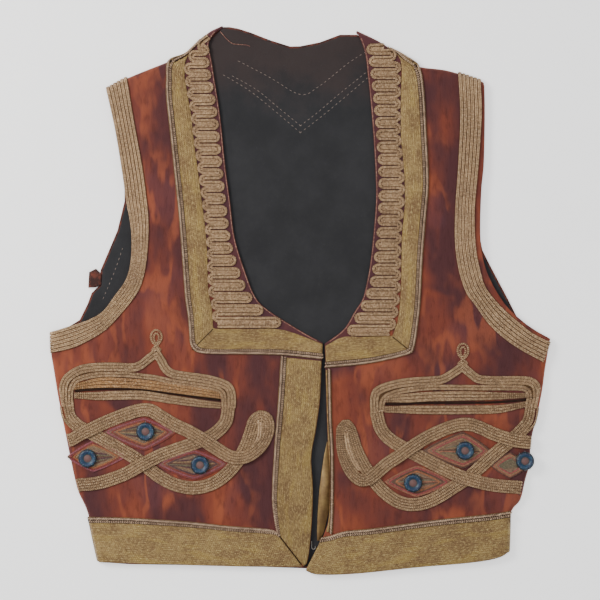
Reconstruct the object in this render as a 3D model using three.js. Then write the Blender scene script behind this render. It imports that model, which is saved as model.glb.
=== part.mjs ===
// A folk vest of rust velvet, laid flat on its back, with gold tape, couched braid and ring buttons.
// Millimetres, +Z up. The floor is z = 0, +Y points to the neck, and "left" is the viewer's left.
import * as THREE from 'three';

// Cloth and trim thicknesses.
const SEAM = 0.3;
const VELVET = 2.2;
const LINING = 1.0;
const TAPE = 1.0;
const BRAID = 1.4;
const ROW_HEIGHT = 0.5;

// Heights of the layers above the floor.
const LINING_BASE = VELVET + SEAM;
const FRONT_BASE = LINING_BASE + LINING + SEAM;
const LOFT = 0.5;

// The fronts roll over at the side and shoulder seams, and meet the back there.
const ROLL = 3.6;
const ROLL_STEPS = [0.5, 1.7, 3.6];
const ROLL_EASE = 0.4;
const EDGE_POINTS = 50;
const FRONT_CENTRE = 120;

// Braid bands.
const BAND = 13.4;
const FRAME_BAND = 8.4;
const INNER_FRAME_BAND = 5.2;
const STEP = 10;
const LIFT_RAMP = 9;
const CROSSING_SHARES = [0, 0.25, 0.5, 0.75, 1];
const CROSSING_CLEAR = 0.9;

const COLOR = {
  velvet: 0x7d3c28, lining: 0x3a3a3d, galloon: 0xa0875a, braid: 0xa58764,
  thread: 0x9c5a48, ring: 0x235a96, steel: 0x4a4a4c,
};

const finish = {
  velvet: new THREE.MeshStandardMaterial({ color: COLOR.velvet, roughness: 0.75, metalness: 0 }),
  lining: new THREE.MeshStandardMaterial({ color: COLOR.lining, roughness: 0.85, metalness: 0 }),
  galloon: new THREE.MeshStandardMaterial({ color: COLOR.galloon, roughness: 0.5, metalness: 0.5 }),
  braid: new THREE.MeshStandardMaterial({ color: COLOR.braid, roughness: 0.55, metalness: 0.35 }),
  thread: new THREE.MeshStandardMaterial({ color: COLOR.thread, roughness: 0.6, metalness: 0 }),
  ring: new THREE.MeshStandardMaterial({ color: COLOR.ring, roughness: 0.25, metalness: 0.1 }),
  steel: new THREE.MeshStandardMaterial({ color: COLOR.steel, roughness: 0.4, metalness: 0.9 }),
};

// Outlines of the two fronts, each edge from the hem or the inside outwards. Columns: x, y.
const LEFT = {
  sign: -1,
  centre: [[3, -267], [8, -260], [11.5, -228], [13, -190], [11.5, -157], [16, -130], [20, -100],
    [21.5, -68], [23, -43]],
  neck: [[23, -43], [8, -35], [-9, -25], [-32, -10], [-44, 2], [-53, 23], [-65, 61], [-70, 99],
    [-75, 137], [-80, 185], [-88, 237], [-91, 258], [-78, 275]],
  side: [[-202, -262], [-208.5, -232], [-214, -210], [-223, -190], [-230, -160], [-234, -140],
    [-242, -100], [-247, -70], [-250, -50], [-249, -32]],
  armhole: [[-249, -32], [-224, -24], [-210, -19], [-197, -11], [-185, 5], [-174, 21], [-169, 42],
    [-169, 70], [-174, 99], [-178, 128], [-185, 170], [-194, 211]],
  hem: [[3, -267], [-51, -267], [-128, -265], [-193, -263], [-202, -262]],
  shoulder: [[-78, 275], [-92, 268], [-105, 255], [-115, 245], [-132, 239], [-173, 222.5], [-194, 211]],
};
const RIGHT = {
  sign: 1,
  centre: [[6, -271], [11, -262], [17, -250], [25, -232], [29, -215], [30, -176], [28, -145],
    [27, -119], [25.5, -71], [24.5, -44]],
  neck: [[24.5, -44], [44, -29], [55, -11], [63, 2], [68, 23], [71, 42], [74, 70], [76, 99],
    [76, 118], [74, 157], [71, 195], [68, 224], [65, 248], [57, 270]],
  side: [[210, -251], [211, -215], [221, -200], [226, -180], [230, -165], [232, -140],
    [238, -115], [243, -90], [246, -68], [251, -39]],
  armhole: [[251, -39], [235, -30], [220, -19], [205, -4], [192, 17], [184, 38], [180.5, 65],
    [181.5, 109], [184, 137], [185, 185], [184.5, 216]],
  hem: [[6, -271], [19, -275], [57, -274], [115, -268], [172, -263], [199, -258], [210, -251]],
  shoulder: [[57, 270], [78, 260], [94, 250], [112, 240], [119, 234], [148, 230], [180, 220],
    [184.5, 216]],
};

// The back, anticlockwise from the left of its hem. Sides and shoulders stop inside the rolled fronts.
const BACK_OUTLINE = [[-199, -263], [-170, -265], [-70, -266.5], [5, -269], [57, -271], [115, -266],
  [172, -261], [199, -256], [205.6, -250], [207, -214], [216, -200], [221.5, -181], [228.5, -140],
  [234.5, -115], [239.5, -90], [242.5, -68], [247, -41], [217, -16], [208, 2], [200, 17],
  [191, 34], [183, 50], [179, 70], [179, 150], [180, 213], [148, 226], [117, 229.4], [110, 235.6],
  [93, 245.6], [78, 256], [57, 266], [40, 266], [20, 258.5], [0, 254.5], [-10, 254.5], [-30, 260],
  [-50, 267], [-70, 270.5], [-79, 271], [-91, 263], [-103, 251], [-114, 241], [-132, 235],
  [-172, 218.5], [-189, 209], [-186, 180], [-176, 128], [-176, 99], [-183, 70], [-191, 51],
  [-200, 30], [-201, 15], [-209, 7], [-213, -4], [-221, -20], [-245.5, -35], [-246.5, -50],
  [-243.5, -70], [-238.5, -100], [-230.5, -140], [-226.5, -160], [-219.5, -190], [-210.5, -210],
  [-205, -232]];
const LINING_MARGIN = 4;

// Creases of the fronts. Columns: x, y, heading in degrees, half length, half width, height.
const CREASE_FALL = 1.6;
const CREASES = {
  left: [
    [-150, 180, 95, 70, 28, 1.6], [-150, 60, 88, 60, 28, 1.5], [-205, -50, 35, 40, 22, 1.1],
    [-184, -34, 50, 32, 22, 0.9], [-135, -18, 70, 45, 26, 1.4], [-100, -95, 85, 60, 26, 0.6],
    [-150, -216, 80, 40, 28, 1.2], [-60, -190, 95, 60, 24, 1.0], [-50, -80, 20, 44, 22, 0.9],
  ],
  right: [
    [150, 150, 92, 80, 28, 1.5], [128, 60, 88, 80, 26, 1.1], [150, -10, 110, 55, 26, 1.5],
    [100, -55, 150, 50, 24, 1.1], [195, -52, 165, 40, 24, 1.1], [60, -110, 75, 60, 24, 1.1],
    [90, -216, 8, 60, 24, 1.2], [170, -214, 172, 50, 24, 1.1], [52, -190, 95, 40, 22, 0.9],
  ],
};

/** Runs a smooth curve through a table of x, y rows. */
function spline(rows) {
  return new THREE.SplineCurve(rows.map(([x, y]) => new THREE.Vector2(x, y)));
}

/** The nearest point of a rolled edge: its distance inside the edge and the way out. */
function nearestEdge(lines, point) {
  let best = { distance: Infinity, out: new THREE.Vector2(1, 0) };
  for (const line of lines) {
    for (let i = 0; i + 1 < line.points.length; i += 1) {
      const start = line.points[i];
      const run = line.points[i + 1].clone().sub(start);
      const share = THREE.MathUtils.clamp(point.clone().sub(start).dot(run) / run.lengthSq(), 0, 1);
      const distance = start.clone().addScaledVector(run, share).distanceTo(point);
      if (distance < best.distance) {
        const out = new THREE.Vector2(-run.y, run.x).normalize().multiplyScalar(line.turn);
        best = { distance, out };
      }
    }
  }
  return best;
}

/** One front: its boundary curves, the loft of its cloth and points on or off its outer face. */
class Front {
  constructor(shape, creases) {
    this.sign = shape.sign;
    this.edge = {};
    for (const name of ['centre', 'neck', 'side', 'armhole', 'hem', 'shoulder']) {
      this.edge[name] = spline(shape[name]);
    }
    this.creases = creases;
    this.rolled = [this.edge.side, this.edge.shoulder].map((edge) => {
      const points = edge.getSpacedPoints(EDGE_POINTS);
      return { points, turn: this.outwardTurn(points) };
    });
  }

  /** Tells on which hand of a line the outside lies. */
  outwardTurn(points) {
    const middle = points[Math.floor(points.length / 2)];
    const run = points[Math.floor(points.length / 2) + 1].clone().sub(middle);
    const left = new THREE.Vector2(-run.y, run.x);
    const centre = new THREE.Vector2(this.sign * FRONT_CENTRE, 0);
    return left.dot(middle.clone().sub(centre)) > 0 ? 1 : -1;
  }

  /** Height of the underside of the cloth where it lies flat. */
  underside(x, y) {
    let rise = LOFT;
    for (const [cx, cy, heading, halfLength, halfWidth, height] of this.creases) {
      const angle = THREE.MathUtils.degToRad(heading);
      const along = (x - cx) * Math.cos(angle) + (y - cy) * Math.sin(angle);
      const across = (y - cy) * Math.cos(angle) - (x - cx) * Math.sin(angle);
      const spread = (along / halfLength) ** 2 + (across / halfWidth) ** 2;
      rise += height * Math.exp(-CREASE_FALL * spread);
    }
    return FRONT_BASE + Math.max(rise, 0);
  }

  /** A place in plan, kept a margin inside the rolled side. */
  clearOfSide(place, margin) {
    const { distance, out } = nearestEdge([this.rolled[0]], place);
    return distance < margin ? place.addScaledVector(out, distance - margin) : place;
  }

  /** A point at a height off the outer face above a place in plan. */
  point(x, y, off) {
    const top = this.underside(x, y) + VELVET;
    const probe = 2;
    const slopeX = (this.underside(x + probe, y) - this.underside(x - probe, y)) / (2 * probe);
    const slopeY = (this.underside(x, y + probe) - this.underside(x, y - probe)) / (2 * probe);
    const { distance, out } = nearestEdge(this.rolled, new THREE.Vector2(x, y));
    const sine = distance < ROLL ? 1 - distance / ROLL : 0;
    const cosine = Math.sqrt(1 - sine * sine);
    const normal = new THREE.Vector3(out.x * top * sine, out.y * top * sine, ROLL * cosine).normalize();
    normal.x -= slopeX * cosine;
    normal.y -= slopeY * cosine;
    normal.normalize();
    const ease = off > 0 ? ROLL_EASE * sine : 0;
    return new THREE.Vector3(x, y, top * cosine).addScaledVector(normal, off + ease);
  }
}

/** Joins a grid of outer points and a grid of inner points into one closed wall. */
function wall(outer, inner) {
  const rows = outer.length;
  const columns = outer[0].length;
  const points = [...outer.flat(), ...inner.flat()];
  const at = (row, column) => row * columns + column;
  const under = (row, column) => rows * columns + at(row, column);
  const faces = [];
  const quad = (a, b, c, d) => faces.push([a, b, c], [a, c, d]);
  const [foot, edge] = [rows - 1, columns - 1];
  for (let row = 0; row < foot; row += 1) {
    for (let column = 0; column < edge; column += 1) {
      quad(at(row, column), at(row, column + 1), at(row + 1, column + 1), at(row + 1, column));
      quad(under(row, column), under(row + 1, column), under(row + 1, column + 1), under(row, column + 1));
    }
    quad(at(row, 0), at(row + 1, 0), under(row + 1, 0), under(row, 0));
    quad(at(row + 1, edge), at(row, edge), under(row, edge), under(row + 1, edge));
  }
  for (let column = 0; column < edge; column += 1) {
    quad(at(0, column + 1), at(0, column), under(0, column), under(0, column + 1));
    quad(at(foot, column), at(foot, column + 1), under(foot, column + 1), under(foot, column));
  }
  return closedGeometry(points, faces);
}

/** Makes a geometry from points and triangles, with its faces turned outwards. */
function closedGeometry(points, faces) {
  let volume = 0;
  for (const [a, b, c] of faces) {
    volume += points[a].dot(points[b].clone().cross(points[c]));
  }
  const index = faces.flatMap(([a, b, c]) => (volume > 0 ? [a, b, c] : [a, c, b]));
  const geometry = new THREE.BufferGeometry();
  geometry.setAttribute('position', new THREE.Float32BufferAttribute(points.flatMap((p) => p.toArray()), 3));
  geometry.setIndex(index);
  geometry.computeVertexNormals();
  return geometry;
}

/** Sweeps a ring of section points through stations and closes both ends. */
function loft(rings, topShares, underShares) {
  const size = rings[0].length;
  const points = rings.flat();
  const faces = [];
  for (let i = 0; i + 1 < rings.length; i += 1) {
    for (let j = 0; j < size; j += 1) {
      const next = (j + 1) % size;
      const [a, b] = [i * size + j, i * size + next];
      const [c, d] = [(i + 1) * size + next, (i + 1) * size + j];
      faces.push([a, b, c], [a, c, d]);
    }
  }
  const last = (rings.length - 1) * size;
  for (const [a, b, c] of capFaces(topShares, underShares)) {
    faces.push([a, c, b], [last + a, last + b, last + c]);
  }
  return closedGeometry(points, faces);
}

/** Triangles of a section's end, between its upper points and its lower ones. */
function capFaces(topShares, underShares) {
  const lower = (k) => topShares.length + underShares.length - 1 - k;
  const lowerShares = [...underShares].reverse();
  const faces = [];
  let [i, k] = [0, 0];
  while (i + 1 < topShares.length || k + 1 < lowerShares.length) {
    const stepTop = k + 1 === lowerShares.length
      || (i + 1 < topShares.length && topShares[i + 1] <= lowerShares[k + 1]);
    if (stepTop) {
      faces.push([i, i + 1, lower(k)]);
      i += 1;
    } else {
      faces.push([i, lower(k + 1), lower(k)]);
      k += 1;
    }
  }
  return faces;
}

// Sections of the trims, from one edge to the other. Columns: share of the width, height.
const EDGED_TAPE_SECTION = [[0, 1.3], [0.2, 1.3], [0.24, TAPE], [0.62, TAPE], [1, TAPE]];
const BAND_SECTION = [[0, 0.9], [0.1, BRAID], [0.5, BRAID], [0.9, BRAID], [1, 0.9]];
const UNDER_SHARES = [1, 0.5, 0];
const WRAPPED_UNDER_SHARES = [1, 0.75, 0.5, 0.25, 0];
const SIDE_MARGIN = 3.7;

/** A section of braid rows side by side, each a low ridge. */
function rowSection(rows) {
  const section = [[0, BRAID - ROW_HEIGHT]];
  for (let row = 0; row < rows; row += 1) {
    section.push([(row + 0.5) / rows, BRAID], [(row + 1) / rows, BRAID - ROW_HEIGHT]);
  }
  return section;
}

/** Lays a flat trim on a front, through stations that each have two edge points and a lift. */
function trim(front, stations, section = BAND_SECTION, margin = SIDE_MARGIN, under = UNDER_SHARES) {
  const shares = [...section, ...under.map((share) => [share, 0])];
  const rings = stations.map(({ a, b, lift = 0 }) => shares.map(([share, height]) => {
    const place = front.clearOfSide(a.clone().lerp(b, share), margin);
    return front.point(place.x, place.y, SEAM + lift + height);
  }));
  return loft(rings, section.map(([share]) => share), under);
}

/** Stations between two edges, each a list of rows, with more of them where the end is rolled. */
function between(edgeA, edgeB, count, rolledStart = false, rolledEnd = false) {
  const curveA = spline(edgeA);
  const curveB = spline(edgeB);
  const length = (curveA.getLength() + curveB.getLength()) / 2;
  const shares = [];
  for (let i = 0; i <= count; i += 1) {
    shares.push(i / count);
  }
  const starts = ROLL_STEPS.map((distance) => distance / length);
  const ends = starts.map((start) => 1 - start).reverse();
  const clear = (1.5 * ROLL) / length;
  const inside = shares
    .filter((share) => (!rolledStart || share > clear) && (!rolledEnd || share < 1 - clear));
  const all = [...(rolledStart ? starts : []), ...inside, ...(rolledEnd ? ends : [])];
  return all.map((share) => ({ a: curveA.getPointAt(share), b: curveB.getPointAt(share) }));
}

// A band grows no wider at a corner than its width divided by this.
const SHARPEST_MITRE = 0.55;

/** Stations along a path of smooth stretches that meet at corners, narrowing at the end to another width. */
function along(stretches, width, endWidth = width) {
  const points = [];
  for (const rows of stretches) {
    const curve = spline(rows);
    const count = Math.max(2, Math.round(curve.getLength() / STEP));
    const spaced = curve.getSpacedPoints(count);
    points.push(...(points.length ? spaced.slice(1) : spaced));
  }
  return points.map((point, i) => {
    const before = (i > 0 ? point.clone().sub(points[i - 1]) : points[1].clone().sub(point)).normalize();
    const after = (i + 1 < points.length ? points[i + 1].clone().sub(point) : before.clone()).normalize();
    const heading = before.clone().add(after).normalize();
    if (i + 1 === points.length) {
      heading.copy(spline(stretches[stretches.length - 1]).getTangentAt(1));
    }
    const share = THREE.MathUtils.clamp(1 - ((points.length - 1 - i) * STEP) / CLUB_LENGTH, 0, 1);
    const half = (width + (endWidth - width) * share) / 2;
    const reach = half / Math.max(heading.dot(before), SHARPEST_MITRE);
    const side = new THREE.Vector2(-heading.y, heading.x).multiplyScalar(reach);
    return { a: point.clone().add(side), b: point.clone().sub(side), centre: point };
  });
}

/** Lifts a band over the bands that it crosses: a station rises if the band on either side would touch. */
function liftOver(stations, lower) {
  const lines = lower.map((band) => ({ points: band.map(({ centre }) => centre), turn: 1 }));
  const crossed = stations.map(({ a, b }, i) => {
    const neighbours = [stations[Math.max(i - 1, 0)], stations[Math.min(i + 1, stations.length - 1)]];
    return neighbours.some((next) => CROSSING_SHARES.some((share) => CROSSING_SHARES.some((run) => {
      const place = a.clone().lerp(b, share).lerp(next.a.clone().lerp(next.b, share), run);
      return nearestEdge(lines, place).distance < BAND / 2 + CROSSING_CLEAR;
    })));
  });
  for (const [i, station] of stations.entries()) {
    let gap = Infinity;
    for (const [j, over] of crossed.entries()) {
      if (over) {
        gap = Math.min(gap, stations[j].centre.distanceTo(station.centre));
      }
    }
    station.lift = (BRAID + SEAM) * THREE.MathUtils.clamp(1 - gap / LIFT_RAMP, 0, 1);
  }
  return stations;
}

const vest = new THREE.Group();

/** Adds a named piece. */
function add(name, geometry, material) {
  const mesh = new THREE.Mesh(geometry, finish[material]);
  mesh.name = name;
  vest.add(mesh);
}

/** A flat layer of cloth cut to an outline. */
function layer(outline, base, thickness) {
  const shape = new THREE.Shape(outline.map(([x, y]) => new THREE.Vector2(x, y)));
  const geometry = new THREE.ExtrudeGeometry(shape, { depth: thickness, bevelEnabled: false });
  return geometry.translate(0, 0, base);
}

/** An outline moved inwards by a margin. The outline runs anticlockwise. */
function inset(outline, margin) {
  return outline.map(([x, y], i) => {
    const [beforeX, beforeY] = outline[(i + outline.length - 1) % outline.length];
    const [afterX, afterY] = outline[(i + 1) % outline.length];
    const before = new THREE.Vector2(x - beforeX, y - beforeY).normalize();
    const after = new THREE.Vector2(afterX - x, afterY - y).normalize();
    const heading = before.add(after).normalize();
    return [x - heading.y * margin, y + heading.x * margin];
  });
}

// Shares across and up a front where its wall has points. The last ones follow the rolled edges.
const ACROSS = [0, 0.06, 0.14, 0.22, 0.31, 0.4, 0.49, 0.58, 0.67, 0.76, 0.85, 0.93];
const LOWER_ROWS = 11;
const UPPER_ROWS = 14;

/** The wall of a front, ruled between its inner and outer edges and bent to its hem and shoulder. */
function frontWall(front) {
  const { centre, neck, side, armhole, hem, shoulder } = front.edge;
  const corner = LOWER_ROWS / (LOWER_ROWS + UPPER_ROWS);
  const onTwo = (lower, upper, v) => (v <= corner
    ? lower.getPointAt(v / corner)
    : upper.getPointAt((v - corner) / (1 - corner)));
  const inner = (v) => onTwo(centre, neck, v);
  const outer = (v) => onTwo(side, armhole, v);
  const levels = [];
  for (let i = 0; i < LOWER_ROWS + UPPER_ROWS; i += 1) {
    levels.push(i / (LOWER_ROWS + UPPER_ROWS));
  }
  const height = neck.getLength() / (1 - corner);
  levels.push(...[...ROLL_STEPS].reverse().map((distance) => 1 - distance / height), 1);
  const corners = [inner(0), outer(0), inner(1), outer(1)];
  const faces = { outer: [], inner: [] };
  for (const v of levels) {
    const width = inner(v).distanceTo(outer(v));
    const shares = [...ACROSS, ...[...ROLL_STEPS].reverse().map((distance) => 1 - distance / width), 1];
    const plan = shares.map((u) => {
      const place = inner(v).multiplyScalar(1 - u).addScaledVector(outer(v), u);
      place.addScaledVector(hem.getPointAt(u), 1 - v).addScaledVector(shoulder.getPointAt(u), v);
      place.addScaledVector(corners[0], -(1 - u) * (1 - v)).addScaledVector(corners[1], -u * (1 - v));
      return place.addScaledVector(corners[2], -(1 - u) * v).addScaledVector(corners[3], -u * v);
    });
    faces.outer.push(plan.map(({ x, y }) => front.point(x, y, 0)));
    faces.inner.push(plan.map(({ x, y }) => front.point(x, y, -VELVET)));
  }
  return wall(faces.outer, faces.inner);
}

const fronts = { left: new Front(LEFT, CREASES.left), right: new Front(RIGHT, CREASES.right) };

add('back_panel', layer(BACK_OUTLINE, 0, VELVET), 'velvet');
add('back_lining', layer(inset(BACK_OUTLINE, LINING_MARGIN), LINING_BASE, LINING), 'lining');
add('front_left', frontWall(fronts.left), 'velvet');
add('front_right', frontWall(fronts.right), 'velvet');

// Galloon tapes. Each is given by its two edges, the edge with the plait first. Columns: x, y.
const TAPES = {
  neck_tape_left: {
    stretches: [
      [[[-132, 239], [-134, 220], [-134, 204], [-130, 166], [-126, 128], [-122, 90], [-118, 42],
        [-115, 2], [-112, -19], [-110.5, -42]],
      [[-116, 244], [-114.5, 225], [-114, 214], [-109, 185], [-106, 157], [-102, 128], [-97, 90],
        [-93, 51], [-92, 13], [-88, -10], [-87, -27]], 16, true],
      [[[-109, -47], [-104, -52], [-90, -54], [-51, -54.5], [-17, -55.5], [22, -59.5]],
        [[-86.5, -28], [-86, -28.6], [-80, -28.8], [-51, -29], [-17, -30], [22.6, -44]], 9, false],
    ],
  },
  neck_tape_right: {
    stretches: [
      [[[119, 234], [124, 214], [127, 166], [129, 118], [126, 80], [123, 42], [121, 2], [120, -10],
        [117, -34], [115, -46]],
      [[101, 243], [99.5, 233], [101, 204], [101, 166], [104, 128], [105, 99], [102, 61], [101, 13],
        [98, -19], [93, -34.5]], 16, true],
      [[[113, -52], [108, -54.5], [92, -59], [67, -64], [38, -67], [26, -68]],
        [[92, -35.6], [91, -36], [80, -36.5], [60, -36.8], [42, -37.4], [25.4, -46]], 8, false],
    ],
  },
  centre_tape_left: {
    stretches: [
      [[[-19.5, -57], [-22, -100], [-26, -151], [-28, -200], [-23.5, -231.5]],
        [[21.6, -61], [19.6, -100], [15.6, -130], [11.2, -157], [12.7, -190], [11.2, -228], [7.6, -260],
          [3.4, -266]], 14, false],
    ],
  },
  hem_tape_left: {
    stretches: [
      [[[-24.2, -232.2], [-32, -229], [-70, -226], [-109, -222], [-166, -218], [-211.5, -217]],
        [[2.2, -266.6], [-10, -266.6], [-51, -266.6], [-128, -264.6], [-193, -262.6], [-202, -261.6]], 12,
        false, true],
    ],
  },
  hem_tape_right: {
    stretches: [
      [[[30, -236], [46, -231], [76, -228], [134, -220], [191, -214], [209.8, -211]],
        [[7, -270.4], [19, -274.6], [57, -273.6], [115, -267.6], [172, -262.6], [208.8, -252]], 12,
        false, true],
    ],
  },
  centre_edge_right: {
    stretches: [
      [[[31, -70], [32, -119], [33.5, -145], [34, -190], [33, -225], [32.4, -233.5]],
        [[25.8, -70], [27.3, -119], [28.3, -145], [30.2, -176], [29.2, -215], [26, -231.5]], 10, false],
    ],
  },
};
for (const [name, { stretches }] of Object.entries(TAPES)) {
  const front = fronts[name.endsWith('left') ? 'left' : 'right'];
  const stations = stretches.flatMap(([a, b, count, start, end]) => between(a, b, count, start, end));
  const section = name.startsWith('centre_edge') ? BAND_SECTION : EDGED_TAPE_SECTION;
  add(name, trim(front, stations, section, 0, WRAPPED_UNDER_SHARES), 'galloon');
}

/** A narrow flat piece on the lining, given by its left edge. Columns: x, y, width. */
function fold(rows) {
  const far = [...rows].reverse().map(([x, y, width]) => [x + width, y]);
  const sides = [...rows.map(([x, y]) => [x, y]), ...far];
  return layer(sides, FRONT_BASE, TAPE);
}

// The tape of the right front is turned under its edge, and its face shows low in the opening.
add('centre_tape_right', fold([[25, -164, 1.6], [22.5, -180, 5], [20, -196, 8], [18.5, -215, 6.4],
  [17.4, -232, 3.4], [17.2, -241, 1]]), 'galloon');

// Braid bands round the armholes, by their two edges from the side seam to the shoulder.
const ARMHOLE_BANDS = {
  left: [LEFT.armhole,
    [[-248.4, -53], [-227, -48], [-208, -39], [-193, -29], [-178, -13], [-166, 2], [-158, 17], [-153, 42],
      [-151, 76], [-154, 109], [-158, 137], [-166, 181], [-173, 222.5]]],
  right: [
    [[249.4, -41.5], [233, -33], [220, -23], [201, -6], [186, 13], [180, 32], [176, 55], [175, 90],
      [179, 137], [182, 185], [181, 219]],
    [[242.6, -62], [214, -46], [191, -27], [174, -4], [166, 7], [159, 28], [155, 55], [155, 90], [158, 137],
      [160, 185], [158, 227]]],
};
for (const [side, [outer, inner]] of Object.entries(ARMHOLE_BANDS)) {
  const stations = between(outer, inner, 25, true, true);
  add(`armhole_band_${side}`, trim(fronts[side], stations, rowSection(5), 0, WRAPPED_UNDER_SHARES), 'braid');
}

// Serpentine braid between the neck tape and the opening, its runs level from top to foot. Columns: x, y.
const COMBS = {
  left: {
    top: 249,
    foot: -28.6,
    fingers: 22,
    root: [[-104, 252], [-110, 244], [-113, 234], [-112, 214], [-107, 185], [-104, 157], [-100, 128],
      [-95, 90], [-91, 51], [-90, 13], [-86, -10], [-84.5, -30]],
    tip: [[-93, 254], [-92, 236], [-84, 190], [-79, 137], [-75, 99], [-70, 61], [-61, 30], [-52, 10],
      [-40, -6], [-18, -21], [-6, -29]],
  },
  right: {
    top: 255,
    foot: -36.4,
    fingers: 24,
    root: [[84, 256], [95, 246], [98.5, 236], [98.5, 214], [99, 166], [102, 128], [102.5, 99], [99.6, 61],
      [98.6, 13], [95.5, -16], [91.6, -37]],
    tip: [[67.5, 256], [69, 246], [72, 224], [75, 195], [78, 157], [80, 118], [79, 80], [75, 42], [70, 16],
      [60, -8], [50, -24], [44, -37]],
  },
};
const COMB_ROW = 5.2;
const COMB_HEIGHT = 1.2;
const COMB_POINTS = 240;
const TURN_ANGLES = [-40, 40];

/** Where a line that falls all the way crosses a level. */
function acrossAt(points, y) {
  const below = Math.max(points.findIndex((point) => point.y <= y), 1);
  const [over, under] = [points[below - 1], points[below]];
  return over.x + ((under.x - over.x) * (over.y - y)) / (over.y - under.y);
}

/** One braid that runs out and back in level fingers, each turn a half round. */
function comb(front, { top, foot, fingers, root, tip }) {
  const [roots, tips] = [root, tip].map((rows) => spline(rows).getSpacedPoints(COMB_POINTS));
  const pitch = (top - foot) / (2 * fingers);
  const inward = Math.sign(tip[0][0] - root[0][0]);
  const runs = Array.from({ length: 2 * fingers }, (_, i) => {
    const y = top - (i + 0.5) * pitch;
    return { y, root: inward * acrossAt(roots, y), tip: inward * acrossAt(tips, y) };
  });
  for (let i = 0; i + 1 < runs.length; i += 1) {
    const [run, next] = [runs[i], runs[i + 1]];
    if (i % 2) {
      run.root = Math.max(run.root, next.root);
      next.root = run.root;
    } else {
      run.tip = Math.min(run.tip, next.tip);
      next.tip = run.tip;
    }
  }
  const radius = pitch / 2;
  const clear = radius + COMB_ROW / 2;
  const points = [];
  for (const [i, run] of runs.entries()) {
    const out = i % 2 === 0 ? 1 : -1;
    const ends = [run.root + clear, run.tip - clear];
    points.push(...(out > 0 ? ends : ends.reverse()).map((x) => new THREE.Vector2(inward * x, run.y)));
    if (i + 1 < runs.length) {
      for (const angle of TURN_ANGLES.map(THREE.MathUtils.degToRad)) {
        const x = ends[1] + out * radius * Math.cos(angle);
        points.push(new THREE.Vector2(inward * x, run.y - radius * (1 + Math.sin(angle))));
      }
    }
  }
  const stations = points.map((point, i) => {
    const before = point.clone().sub(points[Math.max(i - 1, 0)]);
    const after = points[Math.min(i + 1, points.length - 1)].clone().sub(point);
    const heading = before.normalize().add(after.normalize()).normalize();
    const side = new THREE.Vector2(-heading.y, heading.x).multiplyScalar(COMB_ROW / 2);
    return { a: point.clone().add(side), b: point.clone().sub(side) };
  });
  return trim(front, stations, [[0, COMB_HEIGHT], [1, COMB_HEIGHT]], 0, [1, 0]);
}
for (const [side, shape] of Object.entries(COMBS)) {
  add(`neck_comb_${side}`, comb(fronts[side], shape), 'braid');
}

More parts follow.
